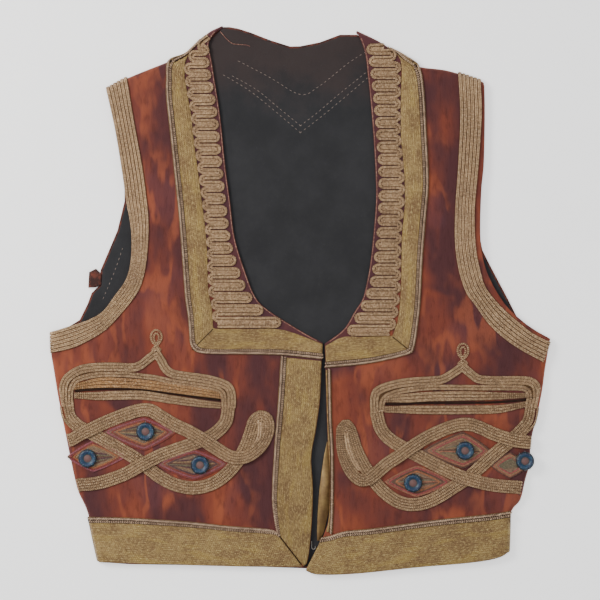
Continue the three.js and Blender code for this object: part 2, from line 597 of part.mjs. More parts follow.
// Braid of a pocket, by its centre lines in smooth stretches that meet at corners. Columns: x, y.
const POCKETS = {
  left: {
    frameOuter: [
      [[-236.2, -105], [-237, -95], [-236, -84], [-231, -76.5], [-219, -69.5], [-204, -67.2],
        [-186, -66.8], [-170, -67.6], [-161, -66], [-152, -59.4], [-143.9, -52.8]],
      [[-143.9, -52.8], [-138.5, -61], [-135, -68], [-127.5, -73.8], [-112, -76.4], [-94, -79],
        [-80, -82.6], [-71.5, -87], [-68.4, -95], [-68.4, -106]],
    ],
    frameInner: [[[-229, -105], [-229.6, -95], [-228, -86.5], [-222, -79.5], [-204, -75], [-186, -74.4],
      [-170, -75], [-157, -76.4], [-143, -78.2], [-128, -81.6], [-112, -84], [-94, -86.6], [-82, -89.4],
      [-76.6, -95], [-76, -105.6]]],
    loop: [-143.7, -36.8],
    welts: {
      upper: [[-220, -87.5, 4], [-204, -84, 9], [-186, -83.4, 8.6], [-157, -85.2, 8.2], [-128, -89, 8],
        [-100, -93, 7.4], [-84, -96, 5]],
      lower: [[-218, -95.5, 5], [-204, -96, 8.6], [-184, -95.4, 9.4], [-157, -95.4, 9.2], [-128, -99.6, 8.8],
        [-100, -103.4, 8], [-86, -104.8, 6]],
    },
    main: [[[-232.6, -109], [-230, -118], [-222, -126], [-211, -132], [-199, -138.5], [-187, -145],
      [-176, -151.4], [-165, -158], [-154, -166.4], [-143, -175], [-132, -181.6], [-122, -185.6],
      [-108, -188], [-94, -186], [-82, -180.6], [-71, -171.6], [-62.5, -161], [-56, -150], [-51.5, -139],
      [-48, -128], [-45.5, -121], [-39.5, -116.8], [-34, -118.8], [-32, -123.5], [-31.8, -127]]],
    wave: [[[-228, -139.6], [-219, -134], [-208, -128.6], [-190, -120.4], [-172, -113.6], [-159, -110],
      [-149, -110.6], [-140, -116], [-125, -125], [-109, -132.4], [-94, -141.6], [-82, -149.5],
      [-70, -156.4], [-58, -157.6], [-48, -153.6], [-39, -145.5], [-34, -137], [-32, -131.5],
      [-31.8, -128.4]]],
    cross: [[[-72, -110], [-74, -121], [-81, -130], [-92, -137.6], [-108, -144], [-124, -149.6],
      [-140, -155.6], [-157, -164], [-175, -174], [-195, -181.2], [-208, -184], [-219, -184.6]]],
  },
  right: {
    frameOuter: [
      [[74.6, -111], [74.3, -99], [77, -91.5], [86, -87], [100, -83.4], [115, -81.6], [131, -80.6],
        [142, -79.4], [152, -74], [162.6, -66.4]],
      [[162.6, -66.4], [170, -73], [178, -78.8], [190, -80.4], [206, -80.4], [220, -80.4], [230, -81.4],
        [236, -86], [237.6, -95], [235, -106]],
    ],
    frameInner: [[[82, -110], [82.4, -101.6], [87, -96.2], [98, -92], [115, -89], [136, -87.4],
      [162, -87.6], [190, -87.8], [212, -87.8], [225, -89], [229.6, -95], [228, -105]]],
    loop: [163, -50.4],
    welts: {
      upper: [[92, -99.4, 5], [106, -98.6, 8.6], [130, -97, 9], [162, -96.4, 9.4], [190, -96.4, 8.6],
        [212, -96, 6], [222, -95.6, 4]],
      lower: [[93, -109.4, 6], [108, -109.6, 8.6], [136, -110, 9], [170, -109.8, 9], [200, -109, 8.4],
        [222, -104.8, 5.4]],
    },
    main: [[[231.5, -110], [228.6, -122], [219, -133], [208, -143], [194, -154.6], [181, -166.4],
      [168, -178], [154, -187], [139, -196.6], [124, -203], [110, -204.6], [98, -201.6], [87, -194.5],
      [77, -184.5], [68.5, -172.5], [61.5, -160], [56.4, -148], [53.2, -137], [50.4, -128.6], [46.4, -124.4],
      [42.2, -127.4], [40.8, -131.5], [40.8, -133.4]]],
    wave: [[[226.4, -142], [217, -141], [208, -138.6], [194, -134], [180, -127.6], [169, -124.4],
      [158, -125], [144, -129.6], [128, -137], [112, -146.6], [99, -156], [87, -164], [78, -171.6],
      [69, -178.6], [60.5, -180], [52.5, -174], [46.6, -164.5], [42.6, -153], [41, -142], [40.8, -137],
      [40.8, -134.8]]],
    cross: [[[77, -115], [80.6, -128], [88, -137.6], [98, -144.6], [112, -152.6], [130, -162],
      [148, -171], [164, -177.6], [184, -183.4], [202, -186.2], [218, -187.2]]],
  },
};

// The main and wave bands meet end to end in a club, and narrow towards it.
const CLUB_BAND = { left: 12.8, right: 9.6 };
const CLUB_LENGTH = 70;
const CLUB_STATIONS = 4;
const LOOP = { radius: 4.6, width: 4.8, tall: 1.15, turns: 12 };
const LOOP_SECTION = [[-0.5, 0], [-0.5, 1], [0, 1.3], [0.5, 1], [0.5, 0]];

// A band starts to turn in line with the side seam this far from it, and is turned at the margin.
const SEAM_TURN = { margin: 4, reach: 16 };

/** A welt, given by its centre line and width. Columns: x, y, width. */
function welt(rows) {
  const curve = spline(rows.map(([x, y]) => [x, y]));
  const widths = spline(rows.map(([x, , width]) => [x, width]));
  const count = Math.round(curve.getLength() / (STEP * 1.4));
  return curve.getPoints(count).map((point, i) => {
    const reach = widths.getPoint(i / count).y / 2;
    return { a: new THREE.Vector2(point.x, point.y + reach), b: new THREE.Vector2(point.x, point.y - reach) };
  });
}

/** Turns the last stations of a band into line with the side seam that it runs into. */
function endAtSide(front, stations) {
  return stations.map((station) => {
    const { distance, out } = nearestEdge([front.rolled[0]], station.centre);
    const turn = THREE.MathUtils.clamp(1 - (distance - SEAM_TURN.margin) / SEAM_TURN.reach, 0, 1);
    const across = station.a.clone().sub(station.b);
    const seam = new THREE.Vector2(-out.y, out.x).multiplyScalar(across.length());
    if (seam.dot(across) < 0) {
      seam.negate();
    }
    const half = across.lerp(seam, turn).multiplyScalar(0.5);
    return { ...station, a: station.centre.clone().add(half), b: station.centre.clone().sub(half) };
  });
}

/** A ring of braid, flat on the cloth. */
function loop(front, [x, y]) {
  const size = LOOP_SECTION.length;
  const points = [];
  const faces = [];
  for (let i = 0; i < LOOP.turns; i += 1) {
    const angle = (2 * Math.PI * i) / LOOP.turns;
    for (const [across, height] of LOOP_SECTION) {
      const reach = LOOP.radius + across * LOOP.width;
      const [dx, dy] = [reach * Math.cos(angle), LOOP.tall * reach * Math.sin(angle)];
      points.push(front.point(x + dx, y + dy, SEAM + height));
    }
    for (let j = 0; j < size; j += 1) {
      const next = (j + 1) % size;
      const after = (i + 1) % LOOP.turns;
      const [a, b] = [i * size + j, i * size + next];
      const [c, d] = [after * size + next, after * size + j];
      faces.push([a, b, c], [a, c, d]);
    }
  }
  return closedGeometry(points, faces);
}

for (const [side, pocket] of Object.entries(POCKETS)) {
  const front = fronts[side];
  const club = CLUB_BAND[side];
  const main = along(pocket.main, BAND, club);
  const cross = liftOver(endAtSide(front, along(pocket.cross, BAND)), [main]);
  const lower = [main.slice(0, -CLUB_STATIONS), cross];
  const wave = liftOver(endAtSide(front, along(pocket.wave, BAND, club)), lower);
  add(`pocket_frame_outer_${side}`, trim(front, along(pocket.frameOuter, FRAME_BAND)), 'braid');
  add(`pocket_frame_inner_${side}`, trim(front, along(pocket.frameInner, INNER_FRAME_BAND)), 'braid');
  add(`pocket_loop_${side}`, loop(front, pocket.loop), 'braid');
  add(`pocket_welt_upper_${side}`, trim(front, welt(pocket.welts.upper)), 'braid');
  add(`pocket_welt_lower_${side}`, trim(front, welt(pocket.welts.lower)), 'braid');
  add(`knot_band_main_${side}`, trim(front, main), 'braid');
  add(`knot_band_cross_${side}`, trim(front, cross), 'braid');
  add(`knot_band_wave_${side}`, trim(front, wave), 'braid');
}

// Embroidered eyes. Columns: centre x, y, then reach to the left, right, top and bottom tips, ring x, y.
const EYES = {
  top_left: [-156, -132, 32, 24, 11, 14, -154.5, -131.5],
  outer_left: [-207, -157, 19, 24, 12, 11, -212.4, -158.4],
  inner_left: [-106, -164, 30, 26, 11, 12, -100, -165],
  top_right: [163, -151, 30, 21, 14, 13, 165, -150.6],
  inner_right: [117, -182, 24, 26, 12, 11, 113, -183],
  outer_right: [210, -166, 14, 14, 10, 9, 225, -161],
};
const PAD = 0.8;
const PAD_EDGE = 0.4;
const PAD_TOP = 0.7;
const PAD_BULGE = 0.64;
const PAD_STEPS = 4;

// A ring button. Columns: radius, height.
const RING_RADIUS = 9.2;
const RING_PROFILE = [[0, 0], [8.6, 0], [RING_RADIUS, 1.3], [6.9, 3], [4.2, 1.5], [0, 2.2]];
const RING_SEGMENTS = 14;
const SEAT_DIRECTIONS = 16;
const SEAT_REACHES = [0.3, 0.7, 1];

/** A low pad with four tips and a rim that swells a little between them. */
function eyePad(front, [x, y, left, right, top, bottom]) {
  const outline = [];
  const tips = [[right, 0], [0, top], [-left, 0], [0, -bottom]];
  for (const [i, [tipX, tipY]] of tips.entries()) {
    const [nextX, nextY] = tips[(i + 1) % tips.length];
    for (let step = 0; step < PAD_STEPS; step += 1) {
      const share = step / PAD_STEPS;
      const bulge = PAD_BULGE * share * (1 - share);
      outline.push([(tipX * (1 - share) + nextX * share) * (1 + bulge),
        (tipY * (1 - share) + nextY * share) * (1 + bulge)]);
    }
  }
  const ring = (scale, off) => outline.map(([dx, dy]) => front.point(x + dx * scale, y + dy * scale, off));
  const rings = [ring(0.5, SEAM), ring(1, SEAM), ring(1, SEAM + PAD_EDGE), ring(PAD_TOP, SEAM + PAD)];
  const size = outline.length;
  const points = [...rings.flat(), front.point(x, y, SEAM), front.point(x, y, SEAM + PAD)];
  const faces = [];
  for (let i = 0; i < size; i += 1) {
    const next = (i + 1) % size;
    for (let level = 0; level + 1 < rings.length; level += 1) {
      const [a, b] = [level * size + i, level * size + next];
      faces.push([a, b, b + size], [a, b + size, a + size]);
    }
    faces.push([points.length - 2, next, i], [points.length - 1, 3 * size + i, 3 * size + next]);
  }
  return closedGeometry(points, faces);
}

/** The height at which a flat disc clears the pad under it. */
function seatHeight(front, x, y) {
  let seat = 0;
  for (let i = 0; i < SEAT_DIRECTIONS; i += 1) {
    const angle = (2 * Math.PI * i) / SEAT_DIRECTIONS;
    for (const share of SEAT_REACHES) {
      const reach = share * RING_RADIUS;
      const place = front.point(x + reach * Math.cos(angle), y + reach * Math.sin(angle), 2 * SEAM + PAD);
      seat = Math.max(seat, place.z);
    }
  }
  return seat;
}

for (const [name, eye] of Object.entries(EYES)) {
  const front = fronts[name.endsWith('left') ? 'left' : 'right'];
  const [x, y] = eye.slice(6);
  const profile = RING_PROFILE.map(([radius, height]) => new THREE.Vector2(radius, height));
  const ring = new THREE.LatheGeometry(profile, RING_SEGMENTS).rotateX(Math.PI / 2);
  add(`eye_pad_${name}`, eyePad(front, eye), 'thread');
  add(`ring_button_${name}`, ring.translate(x, y, seatHeight(front, x, y)), 'ring');
}

// A small velvet tab sewn to the back at the left armhole.
const TAB_THICKNESS = 4.4;
add('armhole_tab', layer([[-212.3, 12.4], [-204.6, 12.6], [-201.25, 16], [-200.55, 26.5], [-204.6, 31.4],
  [-211.4, 28]], 0, TAB_THICKNESS), 'velvet');

// The hook that closes the opening, on the lining at its foot.
const HOOK_THICKNESS = 1.2;
add('front_hook', layer([[10.8, -241], [12.4, -241], [12.6, -248], [14.4, -248], [14.4, -245.8],
  [16, -245.8], [16, -250], [11, -250.4]], FRONT_BASE, HOOK_THICKNESS), 'steel');

export default vest;
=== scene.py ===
"""A folk vest in rust velvet, laid flat on its back: cloth, gold tape, braid, embroidered eyes, rings.

The tables are in millimetres: x to the right, y to the neck, z up off the floor. "Left" is the viewer's left.
"""
import math

import bmesh
import bpy
import numpy as np
from bpy.props import FloatProperty, FloatVectorProperty, IntProperty, PointerProperty
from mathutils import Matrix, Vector


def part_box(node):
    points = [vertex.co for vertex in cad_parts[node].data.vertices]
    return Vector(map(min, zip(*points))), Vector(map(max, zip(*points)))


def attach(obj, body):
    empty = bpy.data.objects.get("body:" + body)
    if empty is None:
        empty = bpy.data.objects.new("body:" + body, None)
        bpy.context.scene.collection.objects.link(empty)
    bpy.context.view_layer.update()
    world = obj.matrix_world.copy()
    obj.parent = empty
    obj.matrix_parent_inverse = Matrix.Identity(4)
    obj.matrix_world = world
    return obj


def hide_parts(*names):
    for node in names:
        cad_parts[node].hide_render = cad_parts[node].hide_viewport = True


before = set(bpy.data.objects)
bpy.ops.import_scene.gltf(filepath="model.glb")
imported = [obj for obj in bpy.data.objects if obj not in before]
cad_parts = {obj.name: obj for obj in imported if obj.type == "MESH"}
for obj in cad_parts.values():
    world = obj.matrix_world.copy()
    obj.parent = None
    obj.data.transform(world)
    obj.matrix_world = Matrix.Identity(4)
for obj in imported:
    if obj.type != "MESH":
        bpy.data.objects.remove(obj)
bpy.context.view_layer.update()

bl_info = {
    "name": "Folk Vest",
    "version": (1, 0, 0),
    "blender": (4, 5, 0),
    "location": "View3D > Sidebar > Vest",
    "description": "A velvet vest with gold tape, couched braid, embroidered eyes and ring buttons",
    "category": "Object",
}

MM = 0.001

# Thicknesses and heights of the cloth, as the solids have them.
SEAM = 0.3
VELVET = 2.2
LINING = 1.0
TAPE = 1.0
BRAID = 1.4
LINING_BASE = VELVET + SEAM
FRONT_BASE = LINING_BASE + LINING + SEAM
LOFT = 0.5
CREASE_FALL = 1.6

# How the fronts roll over at the side and shoulder seams, and how their free edges are rounded.
ROLL = 3.6
ROLL_EASE = 0.4
ROLL_EDGE = 0.3
EDGE_ROUND = 1.1

# The lines of a front's grid: how far its close lines lie from a free and from a rolled edge, how far from
# those edges the even lines between them start and end, and the span and number of even lines each way. The
# corner is the share of the height at which the centre edge meets the neck, and the side the armhole.
FREE_LINES = [0, 0.25, 0.7, 1.3]
ROLLED_LINES = [5.2, 3.6, 2.7, 1.9, 1.2, 0.6, 0.2, 0]
EVEN_START = 2.6
EVEN_END = 8
LINES_ACROSS = (175.0, 70)
LINES_UP = (500.0, 190)
FRONT_CORNER = 0.44

# Small creases of the crushed pile: how many, and the lowest and highest of their widths, of their lengths
# as multiples of the width, and of their heights for a width of CRUSH_WIDTH_UNIT.
CRUSH_COUNT = 110
CRUSH_WIDTHS = (3.2, 7.5)
CRUSH_LENGTHS = (2, 4.5)
CRUSH_HEIGHTS = (-0.16, 0.3)
CRUSH_WIDTH_UNIT = 5

# How strongly the slope of the cloth turns the nap, painting light and shade into its colour on each crease,
# and the strip along the neck that is darkened as painted shade between the comb's fingers.
SLOPE_LIGHT_GAIN = 3.2
NECK_SHADE = 28
NECK_SHADE_FADE = 12
NECK_SHADE_DEPTH = 0.85

# The flat layers of the back: the pitch of their cuts, and how far the lining lies inside the velvet.
CLOTH_GRID = 7.0
LINING_MARGIN = 2.2
LINING_SWELL = 0.35

# Widths of the braid bands, the length over which a band changes to its club's width, the stations that
# one more band leaves free at that end, the gap of a frame, and how far ends are carried on to meet others.
BAND = 13.4
FRAME_BAND = 8.4
INNER_FRAME_BAND = 5.2
CLUB_BAND = {"left": 12.8, "right": 9.6}
CLUB_ROW = 5.4
CLUB_LENGTH = 70
CLUB_STATIONS = 16
FRAME_GAP = 0.5
FRAME_JOIN = 0.8
KNOT_JOIN = 3.0
CLUB_JOIN = 0.4

# The stretches where the two frames part at a corner, as shares of the inner one, and how far.
FRAME_CORNERS = {"start": (0.02, 0.34), "end": (0.66, 0.98)}
CORNER_REACH = 2.8

# How bands are laid: the step between stations, the margin that they keep from a rolled side, how a band
# climbs over another, and how it turns into line with the side seam and is carried over it.
FINE_STEP = 2.5
SIDE_MARGIN = 3.7
EDGE_MARGIN = 0.6
EDGE_ROW_MARGIN = 2.0
SHARPEST_MITRE = 0.55
LIFT_RAMP = 9
CROSSING_CLEAR = 0.9
SEAM_TURN_MARGIN = 4
SEAM_TURN_REACH = 16
SIDE_REACH = 6.5
SIDE_STEPS = [1.4, 2.8]
STATION_PLACES = ("a", "b", "centre")

# Rows of stitches: the width of a full row, the narrowest and widest stitches of a band as shares of its
# usual ones, the height of a row over its ground, the lowest that a row may lie, and the pockets' loops.
ROW_WIDTH = 3.3
STITCH_WIDTHS = (0.6, 1.2)
ROW_RISE = 0.3
ROW_FLOOR = 2.0
LOOP_RISE = 0.6
LOOP_PITCH = 1.9

# The plaited edges of the tapes: where the rows lie in from the edge, and how high over the tape's ground.
EDGE_ROWS = [1.7, 4.6]
NARROW_EDGE_ROWS = [1.8]
# A dark strip of painted shade lies under the rows and shows between them: where it starts and ends, and its
# lift.
EDGE_SHADE = (0.3, 2.0)
EDGE_SHADE_LIFT = 0.7
EDGE_ROW_LIFT = 1.2

# Neck combs: the width of the braid, the slit between its pairs of runs, and how far its turns reach.
COMB_ROW = 6.2
COMB_SLIT = 0.7
COMB_REACH = {"root": 1.3, "tip": 0.8}
COMB_TURN = 72

# The cord along a front's neck edge: its first and last place as shares of the edge, and its inset.
NECK_CORD = (0.02, 0.97)
NECK_CORD_INSET = 0.9
NECK_CORD_PITCH = 1.5

# Embroidered eyes: how far they are drawn out, how round their sides are, and their rings and fans.
EYE_SPREAD = 1.36
EYE_ROUND = 0.34
EYE_RINGS = 4
EYE_OUTER_RING = 0.96
EYE_RING_PITCH = 0.105
EYE_FAN = 6
EYE_FAN_START = (6, 5.5)
EYE_FAN_END = (0.86, 0.3, 2.5)
EYE_FAN_SHORTEST = 4
EYE_GROUND_SHARES = (1.0, 0.99, 0.6, 0.02)
EYE_GROUND_HEIGHTS = (0, 0.3, 0.45, 0.5)
EYE_RING_RISE = 0.45
EYE_FAN_RISE = 0.5

# Sections of the tapes, from the plaited edge to the other, and of the thin strips laid with them.
# Columns: share of the width, height.
TAPE_SECTION = [
    (0, 0.5), (0.02, 0.9), (0.1, 1.0), (0.3, 1.05), (0.5, 1.1), (0.75, 1.05), (0.97, 0.9), (1, 0.5),
]
NARROW_SECTION = [(0, 0.6), (0.1, 0.9), (0.5, 0.9), (0.9, 0.9), (1, 0.6)]
EDGE_SHADE_SECTION = [(0, 0.2), (0.1, 0.45), (0.9, 0.45), (1, 0.2)]
CORNER_SECTION = [(0, 0.4), (0.5, 0.45), (1, 0.4)]
MITRE_SECTION = [(0, 0.1), (0.5, 0.2), (1, 0.1)]
SLIT_SECTION = [(0, 0.25), (0.5, 0.3), (1, 0.25)]

# The slit between the welts, laid as a dark strip of painted shade: its width, and how far up it lies from
# the middle.
SLIT_WIDTH = 2.4
SLIT_RISE = 0.2

# The edges of the two fronts, and the outline of the back. Columns: x, y.
LEFT = {
    "sign": -1,
    "centre": [
        [3, -267], [8, -260], [11.5, -228], [13, -190], [11.5, -157], [16, -130], [20, -100], [21.5, -68],
        [23, -43],
    ],
    "neck": [
        [23, -43], [8, -35], [-9, -25], [-32, -10], [-44, 2], [-53, 23], [-65, 61], [-70, 99], [-75, 137],
        [-80, 185], [-88, 237], [-91, 258], [-78, 275],
    ],
    "side": [
        [-202, -262], [-208.5, -232], [-214, -210], [-223, -190], [-230, -160], [-234, -140],
        [-242, -100], [-247, -70], [-250, -50], [-249, -32],
    ],
    "armhole": [
        [-249, -32], [-224, -24], [-210, -19], [-197, -11], [-185, 5], [-174, 21], [-169, 42], [-169, 70],
        [-174, 99], [-178, 128], [-185, 170], [-194, 211],
    ],
    "hem": [[3, -267], [-51, -267], [-128, -265], [-193, -263], [-202, -262]],
    "shoulder": [
        [-78, 275], [-92, 268], [-105, 255], [-115, 245], [-132, 239], [-173, 222.5], [-194, 211],
    ],
}

RIGHT = {
    "sign": 1,
    "centre": [
        [6, -271], [11, -262], [17, -250], [25, -232], [29, -215], [30, -176], [28, -145], [27, -119],
        [25.5, -71], [24.5, -44],
    ],
    "neck": [
        [24.5, -44], [44, -29], [55, -11], [63, 2], [68, 23], [71, 42], [74, 70], [76, 99], [76, 118],
        [74, 157], [71, 195], [68, 224], [65, 248], [57, 270],
    ],
    "side": [
        [210, -251], [211, -215], [221, -200], [226, -180], [230, -165], [232, -140], [238, -115],
        [243, -90], [246, -68], [251, -39],
    ],
    "armhole": [
        [251, -39], [235, -30], [220, -19], [205, -4], [192, 17], [184, 38], [180.5, 65], [181.5, 109],
        [184, 137], [185, 185], [184.5, 216],
    ],
    "hem": [[6, -271], [19, -275], [57, -274], [115, -268], [172, -263], [199, -258], [210, -251]],
    "shoulder": [
        [57, 270], [78, 260], [94, 250], [112, 240], [119, 234], [148, 230], [180, 220], [184.5, 216],
    ],
}

BACK_OUTLINE = [
    [-199, -263], [-170, -265], [-70, -266.5], [5, -269], [57, -271], [115, -266], [172, -261],
    [199, -256], [205.6, -250], [207, -214], [216, -200], [221.5, -181], [228.5, -140], [234.5, -115],
    [239.5, -90], [242.5, -68], [247, -41], [217, -16], [208, 2], [200, 17], [191, 34], [183, 50],
    [179, 70], [179, 150], [180, 213], [148, 226], [117, 229.4], [110, 235.6], [93, 245.6], [78, 256],
    [57, 266], [40, 266], [20, 258.5], [0, 254.5], [-10, 254.3], [-30, 260.6], [-50, 268.4], [-62, 272.2],
    [-71, 273.8], [-79, 273.6], [-91, 263], [-103, 251], [-114, 241], [-132, 235], [-172, 218.5],
    [-189, 209], [-186, 180], [-176, 128], [-176, 99], [-183, 70], [-191, 51], [-200, 30], [-201, 15],
    [-209, 7], [-213, -4], [-221, -20], [-245.5, -35], [-246.5, -50], [-243.5, -70], [-238.5, -100],
    [-230.5, -140], [-226.5, -160], [-219.5, -190], [-210.5, -210], [-205, -232],
]

# Creases of the fronts. Columns: x, y, heading in degrees, half length, half width, height.
CREASES = {
    "left": [
        [-150, 180, 95, 70, 28, 1.6], [-150, 60, 88, 60, 28, 1.5], [-205, -50, 35, 40, 22, 1.1],
        [-184, -34, 50, 32, 22, 0.9], [-135, -18, 70, 45, 26, 1.4], [-100, -95, 85, 60, 26, 0.6],
        [-150, -216, 80, 40, 28, 1.2], [-60, -190, 95, 60, 24, 1.0], [-50, -80, 20, 44, 22, 0.9],
    ],
    "right": [
        [150, 150, 92, 80, 28, 1.5], [128, 60, 88, 80, 26, 1.1], [150, -10, 110, 55, 26, 1.5],
        [100, -55, 150, 50, 24, 1.1], [195, -52, 165, 40, 24, 1.1], [60, -110, 75, 60, 24, 1.1],
        [90, -216, 8, 60, 24, 1.2], [170, -214, 172, 50, 24, 1.1], [52, -190, 95, 40, 22, 0.9],
    ],
}

# Each tape, as stretches between two edges, the plaited one first. Columns: x, y.
TAPES = {
    "neck_tape_left": [
        [
            [
                [-101, 258.5], [-114, 246], [-132, 239], [-134, 220], [-134, 204], [-130, 166],
                [-126, 128], [-122, 90], [-118, 42], [-115, 2], [-112, -19], [-110.5, -42],
            ],
            [
                [-97.5, 260], [-107.5, 250], [-114.5, 239], [-115.5, 225], [-114, 214], [-109, 185],
                [-106, 157], [-102, 128], [-97, 90], [-93, 51], [-92, 13], [-88, -10], [-87, -27],
            ],
        ],
        [
            [[-109, -47], [-104, -52], [-90, -54], [-51, -54.5], [-17, -55.5], [22, -59.5]],
            [[-86.5, -28], [-86, -28.6], [-80, -28.8], [-51, -29], [-17, -30], [22.6, -44]],
        ],
    ],
    "neck_tape_right": [
        [
            [
                [92, 250], [106, 243], [119, 234], [124, 214], [127, 166], [129, 118], [126, 80],
                [123, 42], [121, 2], [120, -10], [117, -34], [115, -46],
            ],
            [
                [87, 252], [96.5, 246], [101.5, 235], [101, 204], [101, 166], [104, 128], [105, 99],
                [102, 61], [101, 13], [98, -19], [93, -34.5],
            ],
        ],
        [
            [[113, -52], [108, -54.5], [92, -59], [67, -64], [38, -67], [26, -68]],
            [[92, -35.6], [91, -36], [80, -36.5], [60, -36.8], [42, -37.4], [25.4, -46]],
        ],
    ],
    "centre_tape_left": [
        [
            [[-19.5, -57], [-22, -100], [-26, -151], [-28, -200], [-23.5, -231.5]],
            [
                [21.6, -61], [19.6, -100], [15.6, -130], [11.2, -157], [12.7, -190], [11.2, -228],
                [7.6, -260], [3.4, -266],
            ],
        ],
    ],
    "hem_tape_left": [
        [
            [[-24.2, -232.2], [-32, -229], [-70, -226], [-109, -222], [-166, -218], [-211.5, -217]],
            [
                [2.2, -266.6], [-10, -266.6], [-51, -266.6], [-128, -264.6], [-193, -262.6],
                [-202, -261.6],
            ],
        ],
    ],
    "hem_tape_right": [
        [
            [
                [22.6, -237], [31, -235.4], [46, -231], [76, -228], [134, -220], [191, -214],
                [209.8, -211],
            ],
            [
                [5.8, -270], [9, -271.6], [19, -274.6], [57, -273.6], [115, -267.6], [172, -262.6],
                [198, -257.8], [208.8, -252],
            ],
        ],
    ],
    "centre_edge_right": [
        [
            [[31, -70], [32, -119], [33.5, -145], [34, -190], [33, -225], [32.4, -233.5]],
            [[25.8, -70], [27.3, -119], [28.3, -145], [30.2, -176], [29.2, -215], [26, -231.5]],
        ],
    ],
}

# The outer and the inner edge of the band round each armhole. Columns: x, y.
ARMHOLE_BANDS = {
    "left": [
        LEFT["armhole"],
        [
            [-248.4, -53], [-227, -48], [-208, -39], [-193, -29], [-178, -13], [-166, 2], [-158, 17],
            [-153, 42], [-151, 76], [-154, 109], [-158, 137], [-166, 181], [-173, 222.5],
        ],
    ],
    "right": [
        [
            [249.4, -41.5], [233, -33], [220, -23], [201, -6], [186, 13], [180, 32], [176, 55], [175, 90],
            [179, 137], [182, 185], [181, 219],
        ],
        [
            [242.6, -62], [214, -46], [191, -27], [174, -4], [166, 7], [159, 28], [155, 55], [155, 90],
            [158, 137], [160, 185], [158, 227],
        ],
    ],
}

# Neck combs: the heights of their ends, their fingers, and the lines of their turns at the tape and at the
# neck edge. Columns: x, y.
COMBS = {
    "left": {
        "top": 256,
        "foot": -28.6,
        "fingers": 23,
        "lead": [[-92, 262.6], [-96.5, 259.4], [-99.4, 256]],
        "root": [
            [-93, 266], [-104, 254], [-112, 244], [-115, 234], [-113.5, 214], [-108.5, 185],
            [-105.5, 157], [-101.5, 128], [-96.5, 90], [-92.5, 51], [-91.5, 13], [-87.5, -10], [-86, -30],
        ],
        "tip": [
            [-89.5, 266], [-90.5, 254], [-90, 236], [-82.5, 190], [-77.5, 137], [-73.5, 99], [-68.5, 61],
            [-59.5, 30], [-50.5, 10], [-39, -5], [-18, -20], [-6, -29],
        ],
    },
    "right": {
        "top": 257,
        "foot": -36.4,
        "fingers": 24,
        "root": [
            [76, 263], [96, 247], [100, 236], [100, 214], [100.5, 166], [103.5, 128], [104, 99],
            [101, 61], [100, 13], [97, -16], [92.6, -37],
        ],
        "tip": [
            [62, 262], [67, 246], [70.5, 224], [73.5, 195], [76.5, 157], [78.5, 118], [77.5, 80],
            [73.5, 42], [68.5, 16], [58.5, -8], [49, -24], [43, -37],
        ],
    },
}

